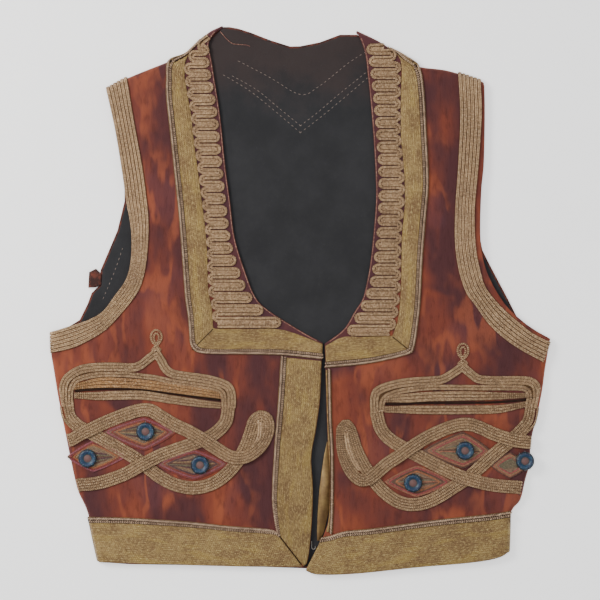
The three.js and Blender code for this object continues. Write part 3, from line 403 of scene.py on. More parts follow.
# Pockets and the knot under each: centre lines of frames and bands, the loop's place, and the welts.
# Columns: x, y, and the width of a welt.
POCKETS = {
    "left": {
        "frame_outer": [
            [
                [-236.2, -105], [-237, -95], [-236, -84], [-231, -76.5], [-219, -69.5], [-204, -67.2],
                [-186, -66.8], [-170, -67.6], [-161, -66], [-152, -59.4], [-143.9, -52.8],
            ],
            [
                [-143.9, -52.8], [-138.5, -61], [-135, -68], [-127.5, -73.8], [-112, -76.4], [-94, -79],
                [-80, -82.6], [-71.5, -87], [-68.4, -95], [-68.4, -106],
            ],
        ],
        "frame_inner": [
            [
                [-229, -105], [-229.6, -95], [-228, -86.5], [-222, -79.5], [-204, -75], [-186, -74.4],
                [-170, -75], [-157, -76.4], [-143, -78.2], [-128, -81.6], [-112, -84], [-94, -86.6],
                [-82, -89.4], [-76.6, -95], [-76, -105.6],
            ],
        ],
        "loop": [-143.7, -36.8],
        "welts": {
            "upper": [
                [-225, -86.8, 6], [-204, -83.2, 10.4], [-186, -82.6, 10.2], [-157, -84.4, 9.8],
                [-128, -88.2, 9.6], [-100, -92.2, 9], [-79.6, -95.4, 7],
            ],
            "lower": [
                [-225, -95.5, 6], [-204, -96, 8.6], [-184, -95.4, 9.4], [-157, -95.4, 9.2],
                [-128, -99.6, 8.8], [-100, -103.4, 8], [-80, -105.4, 6.6],
            ],
        },
        "main": [
            [
                [-232.6, -109], [-230, -118], [-222, -126], [-211, -132], [-199, -138.5], [-187, -145],
                [-176, -151.4], [-165, -158], [-154, -166.4], [-143, -175], [-132, -181.6],
                [-122, -185.6], [-108, -188], [-94, -186], [-82, -180.6], [-71, -171.6], [-62.5, -161],
                [-56, -150], [-51.5, -139], [-48, -128], [-45.5, -121], [-39.5, -116.8], [-34, -118.8],
                [-32, -123.5], [-31.8, -127],
            ],
        ],
        "wave": [
            [
                [-228, -139.6], [-219, -134], [-208, -128.6], [-190, -120.4], [-172, -113.6],
                [-159, -110], [-149, -110.6], [-140, -116], [-125, -125], [-109, -132.4], [-94, -141.6],
                [-82, -149.5], [-70, -156.4], [-58, -157.6], [-48, -153.6], [-39, -145.5], [-34, -137],
                [-32, -131.5], [-31.8, -128.4],
            ],
        ],
        "club_row": [[-40.2, -123.5], [-40, -130], [-41.4, -138], [-45.4, -146], [-50.4, -152]],
        "cross": [
            [
                [-72, -110], [-74, -121], [-81, -130], [-92, -137.6], [-108, -144], [-124, -149.6],
                [-140, -155.6], [-157, -164], [-175, -174], [-195, -181.2], [-208, -184], [-219, -184.6],
            ],
        ],
    },
    "right": {
        "frame_outer": [
            [
                [74.6, -111], [74.3, -99], [77, -91.5], [86, -87], [100, -83.4], [115, -81.6],
                [131, -80.6], [142, -79.4], [152, -74], [162.6, -66.4],
            ],
            [
                [162.6, -66.4], [170, -73], [178, -78.8], [190, -80.4], [206, -80.4], [220, -80.4],
                [230, -81.4], [236, -86], [237.6, -95], [235, -106],
            ],
        ],
        "frame_inner": [
            [
                [82, -110], [82.4, -101.6], [87, -96.2], [98, -92], [115, -89], [136, -87.4],
                [162, -87.6], [190, -87.8], [212, -87.8], [225, -89], [229.6, -95], [228, -105],
            ],
        ],
        "loop": [163, -50.4],
        "welts": {
            "upper": [
                [85.6, -99.4, 6], [106, -98.2, 9.4], [130, -96.6, 9.8], [162, -96, 10], [190, -96, 9.2],
                [212, -95.8, 7], [226, -95.4, 5],
            ],
            "lower": [
                [86, -109.4, 6.6], [108, -109.6, 8.6], [136, -110, 9], [170, -109.8, 9], [200, -109, 8.4],
                [226, -104.2, 6],
            ],
        },
        "main": [
            [
                [231.5, -110], [228.6, -122], [219, -133], [208, -143], [194, -154.6], [181, -166.4],
                [168, -178], [154, -187], [139, -196.6], [124, -203], [110, -204.6], [98, -201.6],
                [87, -194.5], [77, -184.5], [68.5, -172.5], [61.5, -160], [56.4, -148], [53.2, -137],
                [50.4, -128.6], [46.4, -124.4], [42.2, -127.4], [40.8, -131.5], [40.8, -133.4],
            ],
        ],
        "wave": [
            [
                [226.4, -142], [217, -141], [208, -138.6], [194, -134], [180, -127.6], [169, -124.4],
                [158, -125], [144, -129.6], [128, -137], [112, -146.6], [99, -156], [87, -164],
                [78, -171.6], [69, -178.6], [60.5, -180], [52.5, -174], [46.6, -164.5], [42.6, -153],
                [41, -142], [40.8, -137], [40.8, -134.8],
            ],
        ],
        "club_row": [[46.6, -134], [47.4, -142], [50, -152], [54, -161.5], [59, -169]],
        "cross": [
            [
                [77, -115], [80.6, -128], [88, -137.6], [98, -144.6], [112, -152.6], [130, -162],
                [148, -171], [164, -177.6], [184, -183.4], [202, -186.2], [218, -187.2],
            ],
        ],
    },
}

# The rows of a pocket's loop, from their lower left end to the top, about the middle of the loop.
LOOP_ROWS = [
    [[-4.2, -13], [-1.6, -10], [1.8, -7.4], [4.4, -4.2], [5.4, 0], [4.6, 3.6], [2.6, 6], [0, 6.8]],
    [[0.8, -6], [2.2, -3.2], [2.6, 0], [1.7, 2.6], [0, 3.6]],
]

# Embroidered eyes. Columns: x, y, reach to the left, right, top and bottom, x and y of the button.
EYES = {
    "top_left": [-156, -132, 32, 24, 11, 14, -154.5, -131.5],
    "outer_left": [-207, -157, 19, 24, 12, 11, -212.4, -158.4],
    "inner_left": [-106, -164, 30, 26, 11, 12, -100, -165],
    "top_right": [163, -151, 30, 21, 14, 13, 165, -150.6],
    "inner_right": [117, -182, 24, 26, 12, 11, 113, -183],
    "outer_right": [210, -166, 14, 14, 10, 9, 225, -161],
}

# Stitch lines of the lining. Columns: x, y.
LINING_SEAMS = [
    [[-61, 239], [-32, 224], [0, 206], [19, 214], [48, 237], [65, 248]],
    [[-76, 225], [-51, 210], [-26, 190], [0, 168]],
    [[1, 168], [18, 181], [40, 199], [67, 222]],
    [[-67, 224], [-44, 211], [-22, 193], [0, 175]],
    [[1, 175], [19, 189], [40, 207], [65, 227]],
    [[-178, 51], [-186, 28], [-197, 2]],
]

# The turned-under tape in the opening, the tab, the hook and the loose thread. Columns: x, y.
TURNED_TAPE = [
    [27, -142], [24, -156], [21.6, -172], [19.4, -190], [17.8, -212], [17, -232], [17.2, -241],
    [20, -241], [24, -232], [28, -215], [31.5, -196], [31, -175], [29.6, -156], [28.4, -142],
]
TAB_OUTLINE = [
    [-212.3, 12.4], [-204.6, 12.6], [-199.4, 15.4], [-198.9, 26], [-204.6, 31.4], [-211.4, 28],
]
HOOK_LINE = [
    [11.6, -241.4], [11.6, -247], [12.4, -249.2], [14, -249.6], [15.3, -248.6], [15.4, -246.4],
]
LOOSE_THREAD = [[-80, 269], [-74, 262], [-68, 257], [-62, 256], [-54, 255.4], [-50, 254]]
TAB_THICKNESS = 4.0
TAB_ROUND = 1.2
HOOK_RADIUS = 0.6
THREAD_RADIUS = 0.35

# Dark lines where the tape is folded at a corner: side, then x, y of each end.
MITRES = [
    ("right", [[92.6, -37], [110, -51]]),
    ("left", [[-24, -232], [1, -264]]),
    ("left", [[-87, -29], [-108, -50]]),
]
MITRE_WIDTH = 0.9

# Ring buttons. Columns: radius, height.
RING_PROFILE = [
    (0.05, 0.3), (8.4, 0.3), (9.0, 0.8), (9.2, 1.4), (8.9, 2.1), (8.2, 2.7), (7.3, 3.0), (6.4, 2.95),
    (5.4, 2.5), (4.6, 1.9), (4.0, 1.6), (3.2, 1.8), (2.0, 2.1), (0.05, 2.25),
]
RING_SEGMENTS = 48

# The stitches that hold a ring, from its crown down over its outer side.
RING_STITCHES = 10
RING_STITCH_SPAN = (7.6, 9.6)
RING_STITCH_HEIGHTS = [2.75, 2.5, 1.9, 1.1, 0.5]

# The camera's frame at the height of the cloth, in metres.
FRAME_WIDTH = 0.6
CLOTH_HEIGHT = 0.008
FLOOR_REACH = 3.0


def smooth_curve(rows, count):
    """Points of a smooth curve through a table of x, y rows."""
    table = np.array(rows, float)[:, :2]
    last = len(table) - 1
    place = np.linspace(0, last, count)
    index = np.minimum(place.astype(int), last - 1)
    share = (place - index)[:, None]
    before, start = table[np.maximum(index - 1, 0)], table[index]
    end, after = table[index + 1], table[np.minimum(index + 2, last)]
    leave, arrive = (end - before) / 2, (after - start) / 2
    cubic = 2 * start - 2 * end + leave + arrive
    square = 3 * end - 3 * start - 2 * leave - arrive
    return cubic * share**3 + square * share**2 + leave * share + start


class Line:
    """A smooth line through x, y points, with places on it given as shares of its length."""

    def __init__(self, rows):
        self.points = smooth_curve(rows, 60 * len(rows))
        steps = np.linalg.norm(np.diff(self.points, axis=0), axis=1)
        self.reach = np.concatenate([[0], np.cumsum(steps)])
        self.length = self.reach[-1]

    def at(self, shares):
        """Points at shares of the length."""
        reach = np.asarray(shares) * self.length
        return np.stack([np.interp(reach, self.reach, self.points[:, axis]) for axis in (0, 1)], axis=-1)


def unit(vectors):
    """Vectors made one unit long."""
    size = np.linalg.norm(vectors, axis=-1, keepdims=True)
    return vectors / np.maximum(size, 1e-9)


def nearest_edge(lines, places):
    """How far each place lies inside the nearest of some edges, and the way out from there."""
    flat = places.reshape(-1, 2)
    best = np.full(len(flat), np.inf)
    out = np.zeros_like(flat)
    for points, turn in lines:
        start, run = points[:-1], np.diff(points, axis=0)
        offset = flat[:, None, :] - start[None]
        share = np.clip((offset * run).sum(-1) / (run * run).sum(-1), 0, 1)
        gap = np.linalg.norm(offset - share[..., None] * run, axis=-1)
        index = gap.argmin(axis=1)
        near = gap[np.arange(len(flat)), index]
        normal = unit(np.stack([-run[:, 1], run[:, 0]], axis=-1)) * turn
        closer = near < best
        best[closer] = near[closer]
        out[closer] = normal[index[closer]]
    return best.reshape(places.shape[:-1]), out.reshape(places.shape)


def crush(shape, seed):
    """Short shallow creases of crushed pile, scattered over a front in the way that creases have."""
    rng = np.random.default_rng(seed)
    side = shape["sign"]
    creases = []
    for _ in range(CRUSH_COUNT):
        width = rng.uniform(*CRUSH_WIDTHS)
        creases.append([
            side * rng.uniform(15, 245), rng.uniform(-265, 260), rng.normal(90, 38),
            width * rng.uniform(*CRUSH_LENGTHS), width,
            rng.uniform(*CRUSH_HEIGHTS) * width / CRUSH_WIDTH_UNIT,
        ])
    return creases


class Front:
    """One front: its edges, and points on or off its outer face."""

    def __init__(self, shape, creases, seed):
        self.sign = shape["sign"]
        self.edge = {name: Line(rows) for name, rows in shape.items() if name != "sign"}
        self.creases = np.array(creases + crush(shape, seed))
        self.rolled = [self.turned(self.edge["side"]), self.turned(self.edge["shoulder"])]
        self.free = [self.turned(self.edge[name]) for name in ("centre", "neck", "hem")]

    def turned(self, line):
        """Points of an edge, and the hand on which its outside lies."""
        points = line.at(np.linspace(0, 1, 51))
        run = points[26] - points[25]
        outside = np.dot([-run[1], run[0]], points[25] - np.array([self.sign * 120, 0]))
        return points, 1 if outside > 0 else -1

    def underside(self, x, y):
        """Height of the underside of the cloth where it lies flat."""
        rise = np.full(np.shape(x), LOFT)
        for cx, cy, heading, half_length, half_width, height in self.creases:
            angle = math.radians(heading)
            along = (x - cx) * math.cos(angle) + (y - cy) * math.sin(angle)
            across = (y - cy) * math.cos(angle) - (x - cx) * math.sin(angle)
            spread = (along / half_length) ** 2 + (across / half_width) ** 2
            rise += height * np.exp(-CREASE_FALL * spread)
        return FRONT_BASE + np.maximum(rise, 0)

    def slopes(self, x, y):
        """How steeply the cloth rises along x and along y."""
        along_x = (self.underside(x + 1, y) - self.underside(x - 1, y)) / 2
        along_y = (self.underside(x, y + 1) - self.underside(x, y - 1)) / 2
        return along_x, along_y

    def clear_of_side(self, places, margin):
        """Places in plan, kept a margin inside the rolled side."""
        distance, out = nearest_edge(self.rolled[:1], places)
        return places + out * np.minimum(distance - margin, 0)[..., None]

    def face(self, places, off):
        """Points at a height off the outer face, and the face's normals there."""
        x, y = places[..., 0], places[..., 1]
        top = self.underside(x, y) + VELVET
        slope_x, slope_y = self.slopes(x, y)
        distance, out = nearest_edge(self.rolled, places)
        sine = np.clip(1 - distance / ROLL, 0, 1)
        cosine = np.sqrt(1 - sine**2)
        normal = unit(np.stack([out[..., 0] * top * sine, out[..., 1] * top * sine, ROLL * cosine], axis=-1))
        normal[..., 0] -= slope_x * cosine
        normal[..., 1] -= slope_y * cosine
        normal = unit(normal)
        off = np.broadcast_to(off, x.shape)
        off = off + np.where(off > 0, ROLL_EASE * sine, 0)
        return np.stack([x, y, top * cosine], axis=-1) + normal * off[..., None], normal


FRONTS = {"left": Front(LEFT, CREASES["left"], 3), "right": Front(RIGHT, CREASES["right"], 5)}


def side_of(name):
    """The front that a piece's name puts it on."""
    return FRONTS["left" if name.endswith("left") else "right"]


# Meshes


def placed(name, data):
    """A new object in the scene for a mesh, a light or a camera."""
    made = bpy.data.objects.new(name, data)
    bpy.context.scene.collection.objects.link(made)
    return made


def mesh_piece(name, points, faces, materials, maps=None):
    """A new object from points in millimetres, its faces turned outwards."""
    mesh = bpy.data.meshes.new(name)
    mesh.from_pydata((np.asarray(points) * MM).tolist(), [], [list(face) for face in faces])
    if maps is not None:
        corners = np.empty(len(mesh.loops), dtype=np.int32)
        mesh.loops.foreach_get("vertex_index", corners)
        layer = mesh.uv_layers.new(name="weave")
        layer.data.foreach_set("uv", (np.asarray(maps)[corners] * MM).astype(np.float32).ravel())
    shell = bmesh.new()
    shell.from_mesh(mesh)
    bmesh.ops.recalc_face_normals(shell, faces=shell.faces)
    shell.to_mesh(mesh)
    shell.free()
    mesh.shade_smooth()
    for material in materials:
        mesh.materials.append(material)
    return placed(name, mesh)


def joined(name, pieces):
    """Several objects made into one, under a new name."""
    first = pieces[0]
    with bpy.context.temp_override(
        active_object=first, object=first, selected_objects=pieces, selected_editable_objects=pieces
    ):
        bpy.ops.object.join()
    first.name = name
    first.data.name = name
    return first


def wall(outer, inner):
    """One closed wall from a grid of outer points and a grid of inner ones."""
    rows, columns = outer.shape[:2]
    index = np.arange(rows * columns).reshape(rows, columns)
    under = index + rows * columns
    quads = [
        np.stack([index[:-1, :-1], index[:-1, 1:], index[1:, 1:], index[1:, :-1]], -1).reshape(-1, 4),
        np.stack([under[:-1, :-1], under[1:, :-1], under[1:, 1:], under[:-1, 1:]], -1).reshape(-1, 4),
    ]
    for line in ((index[:, 0], under[:, 0]), (index[:, -1], under[:, -1]),
                 (index[0], under[0]), (index[-1], under[-1])):
        top, low = line
        quads.append(np.stack([top[:-1], top[1:], low[1:], low[:-1]], -1))
    points = np.concatenate([outer.reshape(-1, 3), inner.reshape(-1, 3)])
    return points, np.concatenate(quads).tolist()


def swept(rings):
    """A closed sweep through rings of points, with a flat face on each end."""
    count, size = rings.shape[:2]
    index = np.arange(count * size).reshape(count, size)
    after = np.roll(index, -1, axis=1)
    quads = np.stack([index[:-1], after[:-1], after[1:], index[1:]], -1).reshape(-1, 4).tolist()
    return rings.reshape(-1, 3), quads + [index[0].tolist(), index[-1][::-1].tolist()]


def strip(name, front, stations, section, material, margin=SIDE_MARGIN):
    """A flat trim laid on a front through stations, each with two edge points and a lift."""
    start, end, lift = stations["a"], stations["b"], stations["lift"]
    shares = np.array([row[0] for row in section] + [1, 0.75, 0.5, 0.25, 0])
    heights = np.array([row[1] for row in section] + [0] * 5)
    places = start[:, None, :] * (1 - shares)[None, :, None] + end[:, None, :] * shares[None, :, None]
    places = front.clear_of_side(places, margin)
    rings, _ = front.face(places, SEAM + lift[:, None] + heights[None, :])
    rings[..., 2] = np.maximum(rings[..., 2], heights[None, :])
    width = np.linalg.norm(end - start, axis=1)
    middle = (start + end) / 2
    run = np.concatenate([[0], np.cumsum(np.linalg.norm(np.diff(middle, axis=0), axis=1))])
    maps = np.stack([np.broadcast_to(run[:, None], places.shape[:2]), shares[None, :] * width[:, None]], -1)
    points, faces = swept(rings)
    return mesh_piece(name, points, faces, [material], maps.reshape(-1, 2))


def row_paths(front, stations, shares, off, margin=SIDE_MARGIN, dye=None):
    """Paths on a front at shares of the width between two edges."""
    paths = []
    spans = np.linalg.norm(stations["a"] - stations["b"], axis=1)
    width = np.clip(spans / np.median(spans), *STITCH_WIDTHS)
    for number, share in enumerate(shares):
        places = stations["a"] * (1 - share) + stations["b"] * share
        points, up = front.face(front.clear_of_side(places, margin), SEAM + stations["lift"] + off)
        points[..., 2] = np.maximum(points[..., 2], ROW_FLOOR)
        paths.append({"points": points, "up": up, "width": width, "dye": dye[number] if dye else None})
    return paths


def stations_of(start, end, lift=0):
    """Stations from two arrays of edge points."""
    return {"a": start, "b": end, "centre": (start + end) / 2, "lift": np.full(len(start), float(lift))}


def between(edge_a, edge_b):
    """Stations between two edges, each a list of rows."""
    first, second = Line(edge_a), Line(edge_b)
    count = max(3, round((first.length + second.length) / 2 / FINE_STEP))
    shares = np.linspace(0, 1, count)
    return stations_of(first.at(shares), second.at(shares))


def along(stretches, width, end_width=None):
    """Stations along smooth stretches that meet at corners, narrowing at the end to another width."""
    points = []
    for rows in stretches:
        line = Line(rows)
        spaced = line.at(np.linspace(0, 1, max(3, round(line.length / FINE_STEP) + 1)))
        points.extend(spaced[1:] if points else spaced)
    points = np.array(points)
    runs = unit(np.diff(points, axis=0))
    before, after = np.vstack([runs[:1], runs]), np.vstack([runs, runs[-1:]])
    heading = unit(before + after)
    left = (len(points) - 1 - np.arange(len(points))) * FINE_STEP
    share = np.clip(1 - left / CLUB_LENGTH, 0, 1)
    widths = width + ((end_width or width) - width) * share
    reach = widths / 2 / np.maximum((heading * before).sum(-1), SHARPEST_MITRE)
    aside = np.stack([-heading[:, 1], heading[:, 0]], -1) * reach[:, None]
    return stations_of(points + aside, points - aside)


def lift_over(stations, lower):
    """Lifts a band over the centre lines of the bands that it crosses."""
    crossed = np.zeros(len(stations["a"]), bool)
    for share in (0, 0.25, 0.5, 0.75, 1):
        places = stations["a"] * (1 - share) + stations["b"] * share
        distance, _ = nearest_edge([(line, 1) for line in lower], places)
        crossed |= distance < BAND / 2 + CROSSING_CLEAR
    if crossed.any():
        gaps = np.linalg.norm(stations["centre"][:, None] - stations["centre"][crossed][None], axis=-1)
        stations["lift"] = (BRAID + SEAM) * np.clip(1 - gaps.min(axis=1) / LIFT_RAMP, 0, 1)
    return stations


def end_at_side(front, stations):
    """Turns the last stations of a band into line with the side seam that it runs into."""
    distance, out = nearest_edge(front.rolled[:1], stations["centre"])
    turn = np.clip(1 - (distance - SEAM_TURN_MARGIN) / SEAM_TURN_REACH, 0, 1)[:, None]
    across = stations["a"] - stations["b"]
    seam = np.stack([-out[:, 1], out[:, 0]], -1) * np.linalg.norm(across, axis=1, keepdims=True)
    seam *= np.where((seam * across).sum(-1, keepdims=True) < 0, -1, 1)
    half = (across * (1 - turn) + seam * turn) / 2
    return stations_of(stations["centre"] + half, stations["centre"] - half)


def extend(stations, at_end, places):
    """Gives stations one more at their start or end."""
    for key, place in places.items():
        rows = [stations[key], place[None]] if at_end else [place[None], stations[key]]
        stations[key] = np.vstack(rows)
    lift = stations["lift"]
    stations["lift"] = np.append(lift, lift[-1]) if at_end else np.append(lift[0], lift)


def lengthened(stations, start=0.0, end=0.0):
    """Stations with one more at an end, further on by some millimetres."""
    for at_end, step in ((False, start), (True, end)):
        if step:
            last, before = (-1, -2) if at_end else (0, 1)
            run = unit(stations["centre"][last] - stations["centre"][before]) * step
            extend(stations, at_end, {key: stations[key][last] + run for key in STATION_PLACES})
    return stations


def to_side(front, stations):
    """Carries the ends of a band that run into the side seam on over its rolled edge."""
    for at_end, last in ((False, 0), (True, -1)):
        distance, out = nearest_edge(front.rolled[:1], stations["centre"][last][None])
        if distance[0] <= SIDE_REACH:
            ends = {key: stations[key][last].copy() for key in STATION_PLACES}
            for step in SIDE_STEPS:
                extend(stations, at_end, {key: end + out[0] * step for key, end in ends.items()})
    return stations


# Stitches


def bead(length, width, height, turn=0.0, shift=(0, 0), rings=3, around=6):
    """One strand of thread: a closed oval bead, turned in plan. Millimetres."""
    points = [(-length / 2, 0, 0)]
    for ring in range(rings):
        share = (ring + 1) / (rings + 1)
        size = math.sin(math.pi * share) ** 0.6
        for step in range(around):
            angle = 2 * math.pi * step / around
            points.append((
                length * (share - 0.5),
                width / 2 * size * math.cos(angle),
                height / 2 * size * math.sin(angle),
            ))
    points.append((length / 2, 0, 0))
    last = len(points) - 1
    faces = []
    for step in range(around):
        after = (step + 1) % around
        faces.append((0, 1 + after, 1 + step))
        for ring in range(rings - 1):
            low, high = 1 + ring * around, 1 + (ring + 1) * around
            faces.append((low + step, low + after, high + after, high + step))
        faces.append((last, last - around + step, last - around + after))
    angle = math.radians(turn)
    cosine, sine = math.cos(angle), math.sin(angle)
    turned = [(x * cosine - y * sine + shift[0], x * sine + y * cosine + shift[1], z) for x, y, z in points]
    return turned, faces


def stitch_shape(name, beads):
    """An object made of a few beads, to be repeated along a row."""
    points, faces = [], []
    for more_points, more_faces in beads:
        faces += [tuple(index + len(points) for index in face) for face in more_faces]
        points += more_points
    return mesh_piece(name, np.array(points), faces, [])


def stitch_tree():
    """Geometry nodes that lay a stitch along every row, one pitch apart, square to the cloth."""
    tree = bpy.data.node_groups.new("Stitch Rows", "GeometryNodeTree")
    faces = tree.interface
    faces.new_socket("Rows", in_out="INPUT", socket_type="NodeSocketGeometry")
    faces.new_socket("Stitch", in_out="INPUT", socket_type="NodeSocketObject")
    for label, default in (("Pitch", 0.0024), ("Size", 1.0), ("Unevenness", 0.08)):
        faces.new_socket(label, in_out="INPUT", socket_type="NodeSocketFloat").default_value = default
    faces.new_socket("Seed", in_out="INPUT", socket_type="NodeSocketInt")
    faces.new_socket("Material", in_out="INPUT", socket_type="NodeSocketMaterial")
    faces.new_socket("Stitches", in_out="OUTPUT", socket_type="NodeSocketGeometry")
    group_in, group_out = tree.nodes.new("NodeGroupInput"), tree.nodes.new("NodeGroupOutput")

    def node(kind, settings=None, sockets=None):
        made = tree.nodes.new(kind)
        for key, value in (settings or {}).items():
            setattr(made, key, value)
        for key, value in (sockets or {}).items():
            if isinstance(value, bpy.types.NodeSocket):
                tree.links.new(value, made.inputs[key])
            else:
                made.inputs[key].default_value = value
        return made

    curve = node("GeometryNodeMeshToCurve", None, {"Mesh": group_in.outputs["Rows"]})
    spaced = node("GeometryNodeResampleCurve", {"mode": "LENGTH"},
                  {"Curve": curve.outputs[0], "Length": group_in.outputs["Pitch"]})
    up = node("GeometryNodeInputNamedAttribute", {"data_type": "FLOAT_VECTOR"}, {"Name": "up"})
    tangent = node("GeometryNodeInputTangent")
    turn = node("FunctionNodeAxesToRotation", {"primary_axis": "Z", "secondary_axis": "X"},
                {"Primary Axis": up.outputs[0], "Secondary Axis": tangent.outputs[0]})
    source = node("GeometryNodeObjectInfo", None, {"Object": group_in.outputs["Stitch"]})
    uneven = node("FunctionNodeRandomValue", {"data_type": "FLOAT"}, {"Seed": group_in.outputs["Seed"]})
    spread = node("ShaderNodeMath", {"operation": "SUBTRACT"}, {0: uneven.outputs[1], 1: 0.5})
    spread = node("ShaderNodeMath", {"operation": "MULTIPLY"},
                  {0: spread.outputs[0], 1: group_in.outputs["Unevenness"]})
    scale = node("ShaderNodeMath", {"operation": "ADD"}, {0: spread.outputs[0], 1: group_in.outputs["Size"]})
    width = node("GeometryNodeInputNamedAttribute", {"data_type": "FLOAT"}, {"Name": "width"})
    scale = node("ShaderNodeMath", {"operation": "MULTIPLY"}, {0: scale.outputs[0], 1: width.outputs[0]})
    laid = node("GeometryNodeInstanceOnPoints", None, {
        "Points": spaced.outputs[0], "Instance": source.outputs["Geometry"],
        "Rotation": turn.outputs[0], "Scale": scale.outputs[0],
    })
    shade = node("FunctionNodeRandomValue", {"data_type": "FLOAT"}, {"Seed": 11})
    toned = node("GeometryNodeStoreNamedAttribute", {"data_type": "FLOAT", "domain": "INSTANCE"},
                 {"Geometry": laid.outputs[0], "Name": "tone", "Value": shade.outputs[1]})
    real = node("GeometryNodeRealizeInstances", None, {"Geometry": toned.outputs[0]})
    done = node("GeometryNodeSetMaterial", None,
                {"Geometry": real.outputs[0], "Material": group_in.outputs["Material"]})
    tree.links.new(done.outputs[0], group_out.inputs[0])
    return tree


class Workroom:
    """What the operators share: finishes, stitches and the tree that lays them."""

    def __init__(self):
        self.finishes = {}
        self.stitches = {}
        self.tree = None

    def finish(self, name):
        """A finish by its name, made when it is first asked for."""
        if name not in self.finishes:
            self.finishes[name] = FINISHES[name]()
        return self.finishes[name]

    def stitch(self, name):
        """A stitch shape by its name, made when it is first asked for."""
        if name not in self.stitches:
            self.stitches[name] = stitch_shape(name, STITCHES[name])
        return self.stitches[name]

    def clear(self):
        """Takes the stitch shapes out of the scene once every row is laid."""
        for shape in self.stitches.values():
            bpy.data.objects.remove(shape, do_unlink=True)
        self.stitches.clear()


ROOM = Workroom()


def stitched(name, paths, stitch, pitch, finish, size=1.0, uneven=0.08, seed=1):
    """Rows of stitches along paths, as one plain mesh object."""
    points, up, dye, width, edges = [], [], [], [], []
    for path in paths:
        first = len(points)
        count = len(path["points"])
        points.extend(path["points"])
        up.extend(path["up"])
        colour = path.get("dye")
        dye.extend([colour if colour is not None else (1, 1, 1, 1)] * count)
        width.extend(path.get("width", [1.0] * count))
        edges.extend((first + i, first + i + 1) for i in range(count - 1))
        if path.get("closed"):
            edges.append((first + count - 1, first))
    mesh = bpy.data.meshes.new(f"{name}.rows")
    mesh.from_pydata((np.array(points) * MM).tolist(), edges, [])
    for label, kind, field, values in (
        ("up", "FLOAT_VECTOR", "vector", up),
        ("dye", "FLOAT_COLOR", "color", dye),
        ("width", "FLOAT", "value", width),
    ):
        attribute = mesh.attributes.new(label, kind, "POINT")
        attribute.data.foreach_set(field, np.array(values, np.float32).ravel())
    rows = placed(f"{name}.rows", mesh)
    if ROOM.tree is None:
        ROOM.tree = stitch_tree()
    modifier = rows.modifiers.new("Stitches", "NODES")
    modifier.node_group = ROOM.tree
    values = {"Stitch": ROOM.stitch(stitch), "Pitch": pitch * MM, "Size": size, "Unevenness": uneven,
              "Seed": seed, "Material": ROOM.finish(finish)}
    for item in ROOM.tree.interface.items_tree:
        if item.in_out == "INPUT" and item.name in values:
            modifier[item.identifier] = values[item.name]
    laid = bpy.data.meshes.new_from_object(rows.evaluated_get(bpy.context.evaluated_depsgraph_get()))
    rows.modifiers.clear()
    bpy.data.objects.remove(rows, do_unlink=True)
    if not laid.polygons:
        raise RuntimeError(f"{name}: no stitches came out")
    laid.name = name
    laid.shade_smooth()
    return placed(name, laid)


# One repeat of each stitch. A braid is a herringbone of two strands, and a plait is a wider one.
STITCHES = {
    "braid": [bead(3.3, 1.45, 1.35, 22, (0, -0.66), 2), bead(3.3, 1.45, 1.35, -22, (0, 0.66), 2)],
    "fine_braid": [bead(2.5, 1.05, 1.1, 24, (0, -0.48), 2), bead(2.5, 1.05, 1.1, -24, (0, 0.48), 2)],
    "plait": [bead(3.2, 1.35, 1.2, 24, (0, -0.7), 2), bead(3.2, 1.35, 1.2, -24, (0, 0.7), 2)],
    "twist": [bead(4.2, 1.7, 1.4, 34)],
    "cord": [bead(1.9, 1.0, 1.0, 24)],
    "satin": [bead(2.1, 0.75, 0.7, 82)],
    "dash": [bead(1.7, 0.42, 0.36)], "seam": [bead(2.9, 0.52, 0.4)],
}


# Finishes


class Value:
    """A shader socket on which arithmetic adds the nodes for it."""

    def __init__(self, shade, socket):
        self.shade = shade
        self.socket = socket

    def _with(self, operation, *values):
        return self.shade.node("ShaderNodeMath", {"operation": operation}, dict(enumerate(values)))

    def __add__(self, other):
        return self._with("ADD", self, other)

    def __sub__(self, other):
        return self._with("SUBTRACT", self, other)

    def __mul__(self, other):
        return self._with("MULTIPLY", self, other)

    def __radd__(self, other):
        return self._with("ADD", other, self)

    def __rsub__(self, other):
        return self._with("SUBTRACT", other, self)


